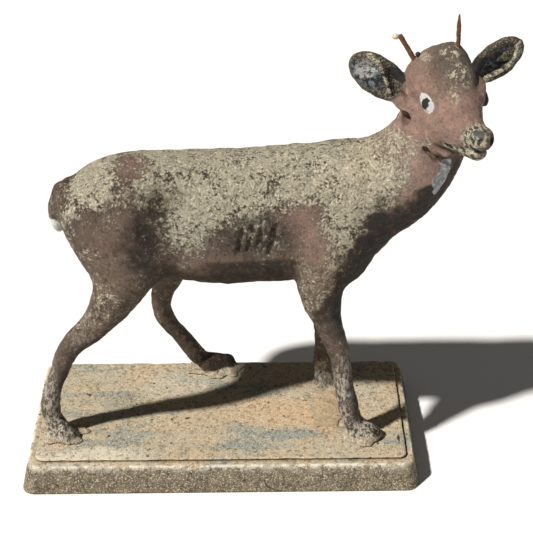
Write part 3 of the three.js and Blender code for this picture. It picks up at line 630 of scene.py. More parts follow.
# The paint's zones over the figure, and the painted shade over it: the middle, radii and share of each oval
# that adds to them
ZONES = {
    "worn": (
        ((10, 0, 465), (190, 110, 60), 0.48), ((40, -60, 425), (80, 40, 40), 0.20),
        ((-185, -30, 430), (56, 60, 44), 0.34), ((-120, -10, 462), (36, 30, 20), -0.26),
        ((40, 20, 480), (190, 60, 26), 0.14), ((-30, -70, 395), (34, 40, 62), 0.34),
        ((205, -60, 445), (66, 60, 50), 0.42), ((195, -75, 395), (34, 40, 56), 0.46),
        ((130, -75, 392), (22, 40, 24), -0.08), ((152, -75, 350), (16, 40, 26), -0.10),
        ((178, -85, 350), (26, 40, 40), 0.30), ((248, -60, 490), (34, 60, 40), 0.24),
        ((60, -75, 375), (60, 40, 34), 0.12), ((-150, -80, 270), (44, 50, 60), 0.12),
        ((150, -90, 290), (36, 50, 60), 0.12), ((290, -60, 440), (30, 60, 60), -0.15),
        ((-130, -80, 360), (40, 40, 50), -0.14), ((0, -40, 305), (110, 60, 24), -0.12),
    ),
    "pink": (
        ((130, -75, 395), (34, 40, 34), 0.55), ((152, -75, 350), (24, 40, 34), 0.50),
        ((-30, -65, 320), (60, 40, 26), 0.40), ((-145, -70, 350), (50, 40, 60), 0.22),
        ((-120, -10, 462), (40, 34, 24), 0.45),
    ),
    # painted shade, with some grime, in the hollows of flank and ribs, down the chest and neck front, and on
    # the front of the legs
    "dark": (
        ((-72, -50, 430), (24, 40, 22), 0.40), ((-92, -75, 400), (26, 30, 46), 0.95),
        ((-118, -80, 350), (26, 40, 34), 0.75), ((-90, -70, 318), (34, 50, 40), 0.60),
        ((62, -80, 372), (50, 40, 30), 0.95), ((10, -70, 345), (70, 40, 14), 0.25),
        ((345, -70, 468), (15, 60, 46), 0.80), ((238, -80, 405), (10, 40, 34), 0.70),
        ((190, -95, 280), (14, 50, 70), 0.85), ((-205, -85, 225), (14, 40, 60), 0.20),
        ((-244, -75, 75), (9, 40, 60), 0.80), ((212, -85, 90), (8, 40, 60), 0.70),
    ),
    # painted shade in the crease under the jaw and the pocket under the ear
    "creased": (
        (head(15, -30, -78), (6, 6, 4), 0.9), (head(26, -18, -86), (9, 7, 6), 1.2),
        ((271, -50, 551), (9, 12, 10), 1.2),
    ),
    "tan": (
        ((150, -70, 300), (60, 60, 60), 0.9), ((-150, -80, 260), (60, 50, 60), 0.5),
        ((240, -40, 490), (50, 60, 50), 0.6), ((-84, 60, 250), (40, 60, 60), 1.0),
        ((-20, -40, 300), (130, 70, 30), 0.7),
    ),
    "white": (
        ((-268, -75, 75), (14, 40, 90), 0.75), ((-262, -75, 12), (36, 36, 22), 1.2),
        ((-205, -90, 190), (16, 40, 60), 0.30), ((192, -88, 70), (16, 30, 90), 0.80),
        ((230, -80, 10), (42, 40, 26), 1.5), ((62, -72, 370), (32, 16, 26), 0.75),
        ((262, -70, 480), (26, 40, 40), 0.45), ((170, 50, 20), (40, 40, 30), 0.5),
        ((-48, -72, 312), (10, 30, 9), 0.9), ((-30, -70, 385), (26, 30, 44), 0.35),
    ),
}


def paint_zones(points, normals):
    """How worn, pink, tan and white the paint is over the figure, how dark painted shade with some grime
    makes it, and other zones, each from 0 to 1.
    """
    x, y, z = points.T
    sums = {name: ovals(points, rows) for name, rows in ZONES.items()}
    worn = 0.30 + 0.24 * Noise(41).layers(points, 44, 2) - 0.05 * rise(z, 260, 200) + sums["worn"]
    from_head = points - BETWEEN_EYES
    on_head = rise(from_head @ CROWN_WAY - 0.3 * (from_head @ NOSE_WAY), -75, -45) * rise(z, 520, 545)
    crown = soft_oval(points, head(-34, 4, 40), (44, 44, 34))
    worn = worn * (1 - on_head) + (0.16 + 0.25 * crown) * on_head
    pink = (rise(x + 0.5 * z, 450, 530) + sums["pink"]) * (1 - 0.8 * crown)
    # painted shade that darkens the underside, the belly and, with a ragged edge, the chest and the side of
    # the neck
    under = rise(-normals[:, 2], 0.15, 0.75) * rise(z, 60, 120)
    belly = rise(322 + 0.06 * x - z, -4, 6) * rise(x, -40, 0) * rise(x, 128, 112)
    wave = 9 * Noise(43).layers(points, 14, 2)
    chest = rise(0.66 * (x - 312) - 0.75 * (z - 460) + wave, -3, 7) * rise(x + wave, 238, 254)
    front = rise(x - 190 - 0.49 * (z - 330) + wave, -4, 7) * rise(z, 416, 398) * rise(z, 200, 260)
    neck_side = 0.8 * rise(y, -50, -20) * rise(x, 300, 330)
    chest = np.maximum(np.maximum(chest, front), neck_side) * (1 - on_head)
    shaded = np.maximum(np.maximum(0.9 * under * (1 - on_head), 0.9 * belly), chest)
    return {
        "worn": worn - 0.25 * chest,
        "pink": pink * (1 - 0.85 * chest),
        "dark": sums["dark"] + shaded + sums["creased"],
        "shaded": shaded,
        "tan": sums["tan"],
        "white": sums["white"],
        "mortar": 1 - rise(z + 4 * Noise(31)(points, 9), 3, 12),
    }


def build_figure():
    points, quads, normals = figure_mesh()
    deer = add_mesh("deer_surface", points * MM + [0, 0, PLINTH_TOP], quads)
    for name, values in paint_zones(points, normals).items():
        set_attribute(deer, name, np.clip(values, 0, 1))
    deer.data.materials.append(painted_concrete())
    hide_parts("deer_figure")
    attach(deer, "root")


# Rings of points, stacked into tubes


def ring_quads(rows, turns):
    """The quads between neighbouring rings of points."""
    start = np.arange((rows - 1) * turns)
    beside = start - start % turns + (start + 1) % turns
    return np.stack([start, beside, beside + turns, start + turns], 1)


def round_angles(turns):
    """Evenly spaced angles of one full turn."""
    return np.arange(turns) / turns * 2 * math.pi


def ring_ends(rows, turns):
    """The first ring and the last ring."""
    return np.arange(turns), np.arange((rows - 1) * turns, rows * turns)


# Plinth, in mm: rounded rectangles stacked up its sides and then shrinking inward over its top
LOWER_TIER_SHARE = 46 / 52
FLARE = 9.5
LEDGE_FROM = 12
LEDGE_WIDTH = 9.5
PLINTH_CORNER = 21
LOWER_EDGE, UPPER_EDGE, GROOVE_AT = 11, 22.5, 22.6  # how far inside the widest edge they lie
EDGE_WIDTH, GROOVE_WIDTH = 2.5, 1.4
CHIP_DEPTH = 2.2
TOP_RINGS = 58


def rounded_ring(half_x, half_y, radius, z, along_x=150, along_y=70, corner=9):
    points = []
    for turn, count in zip(range(4), (along_x, along_y) * 2):
        centre_x = (half_x - radius) * (1 if turn in (0, 3) else -1)
        centre_y = (half_y - radius) * (1 if turn in (0, 1) else -1)
        angles = (turn + np.arange(corner + 1) / corner) * math.pi / 2
        points += [(centre_x + radius * math.cos(a), centre_y + radius * math.sin(a)) for a in angles]
        step_x, step_y = ((-1, 0), (0, -1), (1, 0), (0, 1))[turn]
        length = 2 * (half_x - radius) if step_x else 2 * (half_y - radius)
        last_x, last_y = points[-1]
        points += [
            (last_x + step_x * length * i / count, last_y + step_y * length * i / count)
            for i in range(1, count)
        ]
    return np.array([(px, py, z) for px, py in points])


def plinth_profile(tall):
    """Rows of how far inside the widest edge and how high, from the foot up."""
    tier = tall * LOWER_TIER_SHARE
    groove = tier + 2
    foot = [(0, 0), (0, 3)]
    side = [(FLARE * t, 3 + (tier - 5) * t) for t in np.linspace(0.1, 1, 12)]
    ledge = [(10.6, tier - 0.8), (LEDGE_FROM, tier)]
    ledge += [(LEDGE_FROM + LEDGE_WIDTH * t, tier + 0.1) for t in (0.35, 0.7, 1)]
    cut = [(22.6, tier + 0.6), (22.8, groove), (21.6, groove + 0.7)]
    return foot + side + ledge + cut + [(21.4, tall - 2), (22, tall - 0.8), (23.6, tall)]


def hump(values, middle, width):
    """1 at the middle, falling to 0 over about twice the width on both sides."""
    return np.exp(-((values - middle) / width) ** 2)


def build_plinth():
    half_x, half_y = PLINTH_HIGH.x / MM, PLINTH_HIGH.y / MM
    top_z = PLINTH_TOP / MM
    rings = []
    inset = []
    for inward, z in plinth_profile((PLINTH_HIGH.z - PLINTH_LOW.z) / MM):
        radius = PLINTH_CORNER - 0.35 * min(inward, 24)
        rings.append(rounded_ring(half_x - inward, half_y - inward, radius, z))
        inset.append(inward)
    # over the top the rings shrink in proportion towards the middle
    shrinking = np.linspace(1, 0.02, TOP_RINGS)[1:]
    rings += [rings[-1] * (share, share, 1) for share in shrinking]
    inset += [inset[-1] + (1 - share) * half_y for share in shrinking]
    count = len(rings[0])
    points = np.concatenate(rings)
    quads = ring_quads(len(rings), count)
    normals = vertex_normals(points, quads)
    inward = np.repeat(inset, count)
    rough = Noise(11)
    height = points[:, 2]
    lumps = 0.55 * rough.layers(points, 42, 2) + 0.45 * rough.layers(points, 9, 2)
    top = rise(inward, 24, 34)
    swell = 0.9 * rough(points + 90, 120) - 0.4
    edge = hump(inward, LOWER_EDGE, EDGE_WIDTH) + hump(inward, UPPER_EDGE, EDGE_WIDTH)
    # the groove under the top's lip, where painted shade goes
    under_lip = hump(inward, GROOVE_AT, GROOVE_WIDTH) * rise(height, top_z - 2.5, top_z - 4)
    chips = -CHIP_DEPTH * edge * rise(rough.layers(points + 40, 16, 2), 0.25, 0.9)
    moved = np.minimum(lumps + swell * top + chips, 0.9) - 0.5
    calm = rise(height, 0.5, 4)
    points = points + normals * (moved * calm)[:, None]
    points[:, 2] = np.clip(points[:, 2], 0, None)
    first, last = ring_ends(len(rings), count)
    thing = add_mesh("plinth_surface", points * MM, [*quads, last, first[::-1]])
    set_attribute(thing, "edge", np.clip(edge - 0.8 * rise(inward, 16, 20), 0, 1))
    set_attribute(thing, "groove", under_lip)
    set_attribute(thing, "upper", top)
    thing.data.materials.append(plinth_concrete())
    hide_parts("plinth")
    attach(thing, "root")


# Rods and what is left on them, laid along the frame's own nodes
BAR_RINGS, BAR_TURNS = 60, 26
LUMP_RINGS, LUMP_TURNS = 40, 48
LUMP_SHARE = 0.94  # of its box, so that its roughness stays inside
POLE_GAP = 0.05  # radians between a pole of the lump and its first ring


def node_axis(name):
    """The middle, direction and half length of a bar-shaped node, pointing up."""
    points = np.array([v.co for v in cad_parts[name].data.vertices])
    middle = (points.max(0) + points.min(0)) / 2
    spread = np.linalg.svd(points - points.mean(0), full_matrices=False)[2][0]
    spread = spread if spread[2] > 0 else -spread
    reach = (points - middle) @ spread
    middle = middle + spread * (reach.max() + reach.min()) / 2
    return middle, spread, (reach.max() - reach.min()) / 2, points


def build_bar(node, profile, seed, rough_mm, material):
    """A rusted bar: profile gives its radius share from one end to the other."""
    middle, along, half, points = node_axis(node)
    off_axis = points - middle - np.outer((points - middle) @ along, along)
    radius = np.percentile(np.linalg.norm(off_axis, axis=1), 70)
    side = unit(np.cross(along, [0, 1, 0]))
    other = np.cross(along, side)
    places = []
    for t in np.linspace(0, 1, BAR_RINGS):
        r = radius * np.interp(t, *zip(*profile))
        for angle in round_angles(BAR_TURNS):
            spoke = side * math.cos(angle) + other * math.sin(angle)
            places.append(middle + along * half * (2 * t - 1) + spoke * r)
    places = np.array(places)
    quads = ring_quads(BAR_RINGS, BAR_TURNS)
    moved = Noise(seed).layers(places / MM, 5, 3) * rough_mm - 0.5 * rough_mm
    places = places + vertex_normals(places, quads) * (moved * MM)[:, None]
    first, last = ring_ends(BAR_RINGS, BAR_TURNS)
    bar = add_mesh(node.replace("antler_", "") + "_surface", places, [*quads, first[::-1], last])
    bar.data.materials.append(material)
    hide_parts(node)
    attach(bar, "root")


def build_lump():
    """The lump of pale concrete on the right rod's end, rough all over, filling its node's box."""
    low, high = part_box("antler_remnant_right")
    middle = np.array((low + high) / 2)
    half = np.array((high - low) / 2)
    directions = [
        (math.sin(a) * math.cos(b), math.sin(a) * math.sin(b), math.cos(a))
        for a in np.linspace(POLE_GAP, math.pi - POLE_GAP, LUMP_RINGS)
        for b in round_angles(LUMP_TURNS)
    ]
    points = middle + half * np.array(directions) * LUMP_SHARE
    quads = ring_quads(LUMP_RINGS, LUMP_TURNS)[:, [0, 3, 2, 1]]
    moved = Noise(24).layers(points / MM, 4, 3) * 0.6
    points = points + vertex_normals(points, quads) * (moved * MM)[:, None]
    first, last = ring_ends(LUMP_RINGS, LUMP_TURNS)
    lump = add_mesh("remnant_right_surface", points, [*quads, first, last[::-1]])
    lump.data.materials.append(bare_concrete())
    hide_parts("antler_remnant_right")
    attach(lump, "root")


# Materials


class Shader:
    """The nodes of one material, made and linked by short calls. Positions are in mm of the part's frame."""

    def __init__(self, name):
        self.material = bpy.data.materials.new(name)
        self.material.use_nodes = True
        self.nodes = self.material.node_tree.nodes
        self.links = self.material.node_tree.links
        self.surface = self.nodes["Principled BSDF"]
        self.position = self.vector("SCALE", self.make("ShaderNodeTexCoord", "Object", {}), scale=1 / MM)

    def put(self, socket, value):
        if isinstance(value, bpy.types.NodeSocket):
            self.links.new(value, socket)
        elif socket.type == "RGBA":
            socket.default_value = (*value, 1)
        else:
            socket.default_value = value

    def make(self, kind, output, values, **settings):
        """A new node with its settings and its input values, and then one of its outputs."""
        node = self.nodes.new(kind)
        for name, setting in settings.items():
            setattr(node, name, setting)
        for key, value in values.items():
            self.put(node.inputs[key], value)
        return node.outputs[output]

    def math(self, operation, a, b, clamp=False):
        return self.make("ShaderNodeMath", 0, {0: a, 1: b}, operation=operation, use_clamp=clamp)

    def times(self, a, b):
        return self.math("MULTIPLY", a, b)

    def less(self, a, b):
        return self.math("SUBTRACT", a, b)

    def vector(self, operation, a, b=None, scale=None):
        output = "Value" if operation == "LENGTH" else "Vector"
        values = {key: value for key, value in ((0, a), (1, b), ("Scale", scale)) if value is not None}
        return self.make("ShaderNodeVectorMath", output, values, operation=operation)

    def noise(self, size, detail, rough, warp=0.0, place=None):
        """Noise whose features are about size mm across."""
        values = {"Scale": 1 / size, "Detail": detail, "Roughness": rough, "Distortion": warp}
        return self.make("ShaderNodeTexNoise", "Fac", {"Vector": place or self.position, **values})

    def cells(self, size):
        """Distance from the nearest of many scattered points, in cells of about size mm."""
        return self.make("ShaderNodeTexVoronoi", "Distance", {"Vector": self.position, "Scale": 1 / size})

    def rise(self, value, low, high):
        """0 below low, 1 above high, smooth between. Turned round where low is the larger."""
        start, end = (1.0, 0.0) if low > high else (0.0, 1.0)
        low, high = min(low, high), max(low, high)
        return self.make(
            "ShaderNodeMapRange", "Result",
            {"Value": value, "From Min": low, "From Max": high, "To Min": start, "To Max": end},
            interpolation_type="SMOOTHSTEP", clamp=True,
        )

    def attribute(self, name):
        return self.make("ShaderNodeAttribute", "Fac", {}, attribute_name=name)

    def blend(self, share, a, b, kind="MIX"):
        values = {"Factor": share, 6: a, 7: b}
        return self.make("ShaderNodeMix", 2, values, data_type="RGBA", blend_type=kind)

    def shade(self, share, colour, tint):
        """The colour darkened by a tint, as far as the share says."""
        return self.blend(share, colour, tint, "MULTIPLY")

    def oval(self, place, centre, radii, axes=STRAIGHT, low=1.15, high=0.85):
        """1 inside an oval patch, 0 outside it."""
        turn = Matrix(axes).transposed().to_euler()
        values = {"Vector": place, "Location": tuple(centre), "Rotation": turn, "Scale": radii}
        inside = self.make("ShaderNodeMapping", 0, values, vector_type="TEXTURE")
        return self.rise(self.vector("LENGTH", inside), low, high)

    def shaken(self, amount, size):
        """The position pushed about by noise, so that what is drawn from it has ragged edges."""
        values = {"Vector": self.position, "Scale": 1 / size, "Detail": 2.0}
        centred = self.vector("SUBTRACT", self.make("ShaderNodeTexNoise", "Color", values), (0.5, 0.5, 0.5))
        return self.vector("ADD", self.position, self.vector("SCALE", centred, scale=2 * amount))

    def bump(self, height, distance_mm, strength, under=None):
        values = {"Height": height, "Distance": distance_mm * MM, "Strength": strength}
        if under is not None:
            values["Normal"] = under
        return self.make("ShaderNodeBump", "Normal", values)

    def finish(self, colour, roughness, normal, metallic=0.0):
        looks = {"Base Color": colour, "Roughness": roughness, "Metallic": metallic, "Normal": normal}
        for name, value in looks.items():
            self.put(self.surface.inputs[name], value)
        return self.material


def painted_concrete():
    s = Shader("painted_concrete")
    fine = s.noise(3.6, 4, 0.75)
    crust = s.noise(9, 5, 0.72, 0.4)
    middle = s.noise(24, 4, 0.65, 0.6)
    # worn mauve paint
    patchy = s.rise(middle, 0.38, 0.62)
    brown = s.blend(patchy, (0.112, 0.078, 0.054), (0.185, 0.124, 0.090))
    pink = s.blend(patchy, (0.43, 0.265, 0.21), (0.30, 0.20, 0.16))
    brown = s.blend(s.times(s.attribute("tan"), 0.6), brown, (0.24, 0.175, 0.115))
    paint = s.blend(s.attribute("pink"), brown, pink)
    # bare concrete with lichen, warmer where it is tan
    bare = s.blend(patchy, (0.54, 0.49, 0.37), (0.40, 0.37, 0.28))
    bare = s.blend(s.times(s.attribute("tan"), 0.7), bare, (0.47, 0.37, 0.24))
    bare = s.blend(s.times(s.rise(fine, 0.50, 0.66), 0.85), bare, (0.88, 0.80, 0.64))
    # where the paint is gone: flecks at three sizes, more of them where it is worn
    flecks = s.math("ADD", s.times(fine, 0.42), s.times(crust, 0.36))
    flecks = s.math("ADD", flecks, s.times(middle, 0.22))
    level = s.less(0.635, s.times(s.attribute("worn"), 0.235))
    gone = s.rise(s.less(flecks, level), -0.03, 0.04)
    colour = s.blend(gone, paint, bare)
    # pale lower legs and scratches
    upright = s.vector("MULTIPLY", s.position, (1, 1, 0.45))
    white = s.times(s.attribute("white"), s.rise(s.noise(5, 4, 0.75, 0.0, upright), 0.47, 0.54))
    colour = s.blend(white, colour, (0.72, 0.68, 0.58))
    # darker pits, then painted shade with some grime in the hollows, and painted shade underneath, along the
    # belly and down the chest
    hollow = s.math("ADD", s.times(fine, 0.45), s.times(crust, 0.55))
    deep = s.less(0.95, s.times(s.attribute("pink"), 0.6))
    colour = s.shade(s.times(s.rise(hollow, 0.50, 0.38), deep), colour, (0.22, 0.17, 0.125))
    shade_and_grime = s.math("MULTIPLY", s.attribute("dark"), s.rise(crust, 0.68, 0.50), clamp=True)
    colour = s.shade(s.times(shade_and_grime, 0.97), colour, (0.15, 0.108, 0.062))
    colour = s.shade(s.attribute("shaded"), colour, (0.62, 0.50, 0.36))
    # mortar at the feet, orange between the fore legs
    mortar = s.math("ADD", s.attribute("mortar"), s.times(s.less(fine, 0.5), 1.5))
    sand = s.blend(s.rise(fine, 0.4, 0.65), (0.46, 0.36, 0.25), (0.80, 0.71, 0.54))
    orange = s.oval(s.shaken(12, 24), figure_place((172, -10, 0)), (30, 60, 30), low=1.3, high=0.6)
    sand = s.blend(s.times(orange, 0.6), sand, (0.76, 0.54, 0.31))
    colour = s.blend(s.rise(mortar, 0.25, 0.75), colour, sand)
    roughness = s.math("ADD", 0.70, s.times(gone, 0.24), clamp=True)
    grain = s.bump(fine, 4.0, 0.9, s.bump(crust, 14.0, 0.9))
    return s.finish(paint_head(s, colour), roughness, s.bump(gone, 0.8, 0.8, grain))


def figure_place(point):
    """A point of the figure's grid, in mm of the part's frame, which starts at the ground."""
    return np.array(point, float) + [0, 0, PLINTH_TOP / MM]


def paint_head(s, colour):
    """Eyes, nose, mouth, ears, throat patch and tail tip."""
    ragged = s.shaken(3.0, 7)
    rough = s.shaken(8.0, 16)
    fine = s.noise(2.6, 3, 0.7)

    def patch(place, centre, radii, tone, axes=HEAD_AXES, share=1.0, soft=0.15):
        """Lays one more oval of a tone over the colour so far."""
        nonlocal colour
        mask = s.oval(place, figure_place(centre), radii, axes, 1 + soft, 1 - soft)
        if share != 1.0:
            mask = s.times(mask, share)
        colour = s.blend(mask, colour, tone)

    mottle = s.math("ADD", s.times(s.noise(6, 4, 0.7), 0.7), s.times(fine, 0.3))
    speckled = s.blend(s.rise(mottle, 0.46, 0.55), (0.055, 0.048, 0.038), (0.62, 0.56, 0.42))
    ear_blue = s.blend(s.rise(s.noise(9, 4, 0.7), 0.47, 0.60), (0.018, 0.018, 0.020), (0.24, 0.27, 0.32))
    brown = s.blend(s.rise(fine, 0.40, 0.60), (0.10, 0.075, 0.06), (0.20, 0.155, 0.125))
    # brown crown and forehead, with cream flecks down the middle of the brow
    patch(rough, head(-30, 8, 36), (46, 36, 28), brown, share=0.8, soft=0.3)
    flaking = s.rise(s.noise(6, 3, 0.7), 0.52, 0.57)
    for centre, radii in (
        ((-12, -2, 26), (20, 15, 20)), ((14, -22, 14), (13, 7, 14)), ((-44, 0, 48), (16, 14, 12)),
    ):
        patch(rough, head(*centre), radii, (0.66, 0.60, 0.44), share=flaking, soft=0.3)
    # muzzle: mottled, with a grey nostril and black round the lips
    patch(ragged, head(70, -3, -16), (20, 23, 25), speckled, soft=0.25)
    patch(ragged, head(80, 9, -14), (12, 14, 14), (0.045, 0.038, 0.032), share=0.8, soft=0.4)
    patch(ragged, head(60, -6, -44), (34, 24, 12), speckled, soft=0.2)
    patch(ragged, head(80, -2, -23), (9, 22, 6), (0.03, 0.028, 0.026))
    patch(rough, head(74, -11, -1), (8, 8, 7), (0.11, 0.115, 0.12), soft=0.3)
    patch(ragged, head(79, 12, -7), (7, 5, 6), (0.03, 0.03, 0.03))
    patch(ragged, head(42, -24, -47), (14, 8, 7), (0.52, 0.48, 0.38))
    patch(ragged, head(43, -25, -47), (9, 8, 3.6), (0.02, 0.018, 0.015))
    # the right eye is a ragged white ring with a black middle, the left one dark with a painted highlight in
    # its middle
    eye_looks = (
        ((0.80, 0.80, 0.78), (7.5, 12, 9), (0.014, 0.014, 0.014)),
        # the left eye's pale middle is a painted highlight
        ((0.06, 0.06, 0.065), (5, 14, 4), (0.7, 0.7, 0.7)),
    )
    for (forward, left, up), (tone, middle_radii, mark) in zip(EYES, eye_looks):
        patch(s.shaken(5.0, 8), head(forward, left, up), (17, 13, 12), tone, soft=0.08)
        patch(s.shaken(4.0, 8), head(forward + 8, left + 3, up + 3), (9, 13, 8), tone, soft=0.08)
        patch(s.shaken(5.0, 8), head(forward + 1, left, up), middle_radii, mark, soft=0.1)
    # white throat, and the white tip of the tail
    throat = unit((0.55, -0.80, 0.15))
    aside = np.cross((0.12, 0, 1), throat)
    throat_axes = (throat, unit(aside), unit(np.cross(throat, aside)))
    greyed = s.blend(s.rise(s.noise(8, 3, 0.6), 0.42, 0.58), (0.62, 0.64, 0.66), (0.36, 0.38, 0.41))
    for centre, radii in (
        ((330, -77, 480), (20, 8, 18)), ((323, -76, 462), (20, 11.5, 15)), ((321, -74, 450), (20, 6, 14)),
    ):
        patch(s.shaken(2.5, 9), centre, radii, greyed, throat_axes, soft=0.06)
    patch(ragged, (-248, -8, 351), (17, 17, 17), (0.95, 0.95, 0.91), STRAIGHT)
    # ears: dark and flecked all over, with lighter hollows, a cream ridge at the hollow's edge, and painted
    # shade in black at the root
    dark_rim = s.blend(s.rise(fine, 0.50, 0.60), (0.050, 0.040, 0.030), (0.34, 0.29, 0.20))
    chalk = s.blend(s.rise(s.noise(5, 4, 0.75), 0.43, 0.52), (0.09, 0.085, 0.08), (0.78, 0.78, 0.76))
    crumbly = s.blend(s.rise(fine, 0.44, 0.54), (0.12, 0.10, 0.07), (0.74, 0.68, 0.50))
    # black marks at the ears' roots are painted shade
    black = (0.022, 0.018, 0.016)
    marks = (
        ((6, 0, 46, 34, 32, dark_rim), (-17, -19, 15, 9, 26, black), (11, 4, 34, 18, 13, ear_blue),
         (20, 0, 19, 16, 13, chalk)),
        ((6, 0, 46, 34, 32, dark_rim), (-28, 12, 18, 13, 30, black), (6, 0, 37, 14, 13, ear_blue),
         (14, -3, 21, 8, 13, crumbly)),
    )
    for ear, ridge, rows in zip(EARS, EAR_RIDGES, marks):
        _, axes = ear_middle(ear)
        for along, across, length, width, deep, tone in rows:
            patch(ragged, ear_place(ear, along, across, 8), (length, width, deep), tone, axes, soft=0.12)
        for spot in ridge:
            patch(ragged, ear_place(ear, *spot, 9), (9, 4, 8), crumbly, axes, soft=0.2)
    # rust and bare cement round the foot of the right rod
    patch(rough, (280, -22, 622), (9, 10, 9), (0.40, 0.20, 0.08), STRAIGHT, share=0.8, soft=0.3)
    cement = s.blend(s.rise(fine, 0.42, 0.58), (0.22, 0.16, 0.12), (0.70, 0.63, 0.50))
    patch(ragged, (296, -38, 636), (11, 10, 5), cement, STRAIGHT, share=0.85, soft=0.4)
    return colour


def plinth_concrete():
    s = Shader("plinth_concrete")
    fine = s.noise(2.6, 4, 0.75)
    broad = s.noise(70, 4, 0.6, 0.5)
    streaks = s.noise(45, 4, 0.6, 0.6, s.vector("MULTIPLY", s.position, (0.45, 1, 1)))
    sand = s.blend(s.rise(broad, 0.35, 0.65), (0.47, 0.365, 0.24), (0.42, 0.365, 0.265))
    sand = s.blend(s.times(s.rise(streaks, 0.51, 0.60), 0.8), sand, (0.25, 0.265, 0.235))
    # orange, pale and grey-green areas of the top, and green marks on the front
    ragged = s.shaken(16, 30)
    for centre, radii, tone, share in (
        ((120, -10, 52), (120, 40, 30), (0.56, 0.37, 0.21), 0.6),
        ((168, -20, 52), (30, 60, 30), (0.60, 0.37, 0.18), 0.6),
        ((-210, -118, 52), (95, 22, 30), (0.66, 0.61, 0.50), 0.7),
        ((-80, 60, 52), (60, 40, 30), (0.60, 0.55, 0.44), 0.35),
        ((100, -70, 52), (60, 12, 30), (0.17, 0.215, 0.22), 0.7),
        ((40, -95, 52), (80, 9, 30), (0.20, 0.235, 0.22), 0.6),
        ((-160, 20, 52), (40, 26, 30), (0.22, 0.23, 0.19), 0.5),
        ((290, -150, 30), (64, 14, 14), (0.13, 0.20, 0.15), 0.75),
    ):
        mask = s.times(s.oval(ragged, centre, radii, low=1.4, high=0.5), share)
        sand = s.blend(mask, sand, tone)
    sides = s.less(1, s.attribute("upper"))
    side_tone = s.blend(s.rise(s.noise(30, 4, 0.65), 0.35, 0.65), (0.12, 0.095, 0.062), (0.19, 0.155, 0.105))
    above = s.rise(s.make("ShaderNodeSeparateXYZ", "Z", {0: s.position}), 38, 47)
    colour = s.blend(s.times(sides, s.less(1, above)), sand, side_tone)
    grit = s.noise(6, 4, 0.75)
    colour = s.blend(s.times(s.rise(fine, 0.50, 0.66), 0.8), colour, (0.80, 0.71, 0.54))
    colour = s.shade(s.times(s.rise(grit, 0.50, 0.36), 0.8), colour, (0.32, 0.28, 0.23))
    pale = s.times(s.attribute("edge"), s.rise(s.noise(14, 4, 0.7), 0.44, 0.54))
    colour = s.blend(s.times(pale, 0.8), colour, (0.78, 0.74, 0.64))
    # painted shade in the groove under the top's lip
    colour = s.shade(s.attribute("groove"), colour, (0.42, 0.34, 0.25))
    pits = s.rise(s.cells(26), 0.05, 0.11)
    colour = s.blend(s.less(1, pits), colour, (0.05, 0.042, 0.032))
    # a curved crack low on the front, a short one by the right end, and the two largest pits
    crack = (0.035, 0.028, 0.022)
    arc_place = (94, -152, 21)
    arc_radii = (26, 40, 18)
    arc = s.oval(s.shaken(1.5, 9), arc_place, arc_radii, low=1.07, high=1.0)
    arc = s.less(arc, s.oval(s.shaken(1.5, 9), arc_place, arc_radii, low=1.0, high=0.93))
    arc = s.times(arc, s.oval(s.position, (74, -150, 6), (24, 30, 17)))
    colour = s.blend(arc, colour, crack)
    for centre, radii in (
        ((284, -82, 52), (1.6, 10, 6)), ((-56, -25, 52), (4, 3.4, 6)), ((-222, 41, 52), (3, 3, 6)),
    ):
        colour = s.blend(s.oval(s.shaken(3, 7), centre, radii), colour, crack)
    grain = s.bump(fine, 1.6, 0.8, s.bump(grit, 3.0, 0.8))
    return s.finish(colour, 0.95, s.bump(pits, 1.2, 0.7, grain))


def rusted_iron():
    s = Shader("rusted_iron")
    flakes = s.noise(2.4, 4, 0.75)
    colour = s.blend(s.rise(flakes, 0.35, 0.62), (0.045, 0.022, 0.016), (0.16, 0.065, 0.038))
    colour = s.blend(s.rise(s.noise(5, 3, 0.7), 0.60, 0.70), colour, (0.34, 0.15, 0.07))
    return s.finish(colour, 0.8, s.bump(flakes, 0.5, 0.9), metallic=0.15)


def grainy(name, low, high, first, second, roughness, depth, metallic=0.0):
    """A material of two tones in grains of 2 mm."""
    s = Shader(name)
    grain = s.noise(2.0, 4, 0.75)
    colour = s.blend(s.rise(grain, low, high), first, second)
    return s.finish(colour, roughness, s.bump(grain, depth, 0.9), metallic)


def black_iron():
    return grainy("black_iron", 0.4, 0.7, (0.008, 0.007, 0.007), (0.05, 0.032, 0.026), 0.75, 0.5, 0.15)


def bare_concrete():
    return grainy("bare_concrete", 0.35, 0.65, (0.42, 0.37, 0.27), (0.78, 0.72, 0.58), 0.95, 0.8)


# Stage


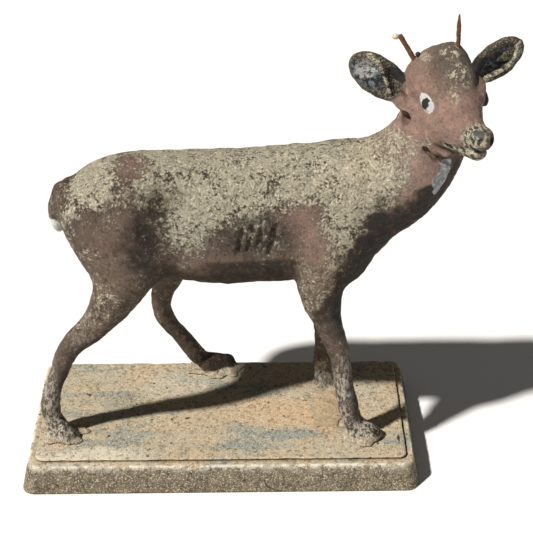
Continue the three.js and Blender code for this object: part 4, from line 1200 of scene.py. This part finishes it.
def build_floor():
    corners = [(x * FLOOR_HALF, y * FLOOR_HALF, 0) for x, y in ((-1, -1), (1, -1), (1, 1), (-1, 1))]
    floor = add_mesh("floor", corners, [(0, 1, 2, 3)], smooth=False)
    material = bpy.data.materials.new("pale_floor")
    material.use_nodes = True
    surface = material.node_tree.nodes["Principled BSDF"]
    surface.inputs["Base Color"].default_value = (0.80, 0.80, 0.80, 1)
    surface.inputs["Roughness"].default_value = 0.9
    floor.data.materials.append(material)


def build_lights():
    world = bpy.data.worlds.new("studio")
    bpy.context.scene.world = world
    world.use_nodes = True
    background = world.node_tree.nodes["Background"]
    background.inputs["Color"].default_value = (*FILL_COLOUR, 1)
    background.inputs["Strength"].default_value = FILL_STRENGTH
    key = bpy.data.objects.new("key", bpy.data.lights.new("key", "SUN"))
    key.data.energy = KEY_STRENGTH
    key.data.angle = math.radians(KEY_SOFTNESS)
    key.data.color = KEY_COLOUR
    key.rotation_mode = "QUATERNION"
    key.rotation_quaternion = (-Vector(KEY_FROM)).to_track_quat("-Z", "Y")
    bpy.context.scene.collection.objects.link(key)


def build_camera():
    camera = bpy.data.objects.new("camera", bpy.data.cameras.new("camera"))
    bpy.context.scene.collection.objects.link(camera)
    pitch, yaw, roll = (math.radians(a) for a in (CAMERA_PITCH, CAMERA_YAW, CAMERA_ROLL))
    ahead = Vector((math.sin(yaw) * math.cos(pitch), math.cos(yaw) * math.cos(pitch), -math.sin(pitch)))
    right = Vector((math.cos(yaw), -math.sin(yaw), 0))
    above = right.cross(ahead)
    across = right * math.cos(roll) + above * math.sin(roll)
    above = above * math.cos(roll) - right * math.sin(roll)
    axes = Matrix((across, above, -ahead)).transposed().to_4x4()
    camera.matrix_world = Matrix.Translation(CAMERA_PLACE) @ axes
    camera.data.lens = CAMERA_LENS
    camera.data.sensor_width = CAMERA_SENSOR
    bpy.context.scene.camera = camera


build_camera()
build_lights()
build_floor()
build_figure()
build_plinth()
rust = rusted_iron()
build_bar("antler_rod_right", [(0, 1), (0.97, 1), (1, 0.75)], 21, 0.35, rust)
build_bar("antler_rod_left", [(0, 1), (0.757, 1), (0.90, 0.72), (1, 0.3)], 22, 0.35, rust)
build_bar("rod_stub_right", [(0, 1), (0.93, 1), (1, 0.7)], 23, 0.4, black_iron())
build_lump()

scene = bpy.context.scene
scene.view_settings.view_transform = "Standard"
scene.view_settings.look = "None"
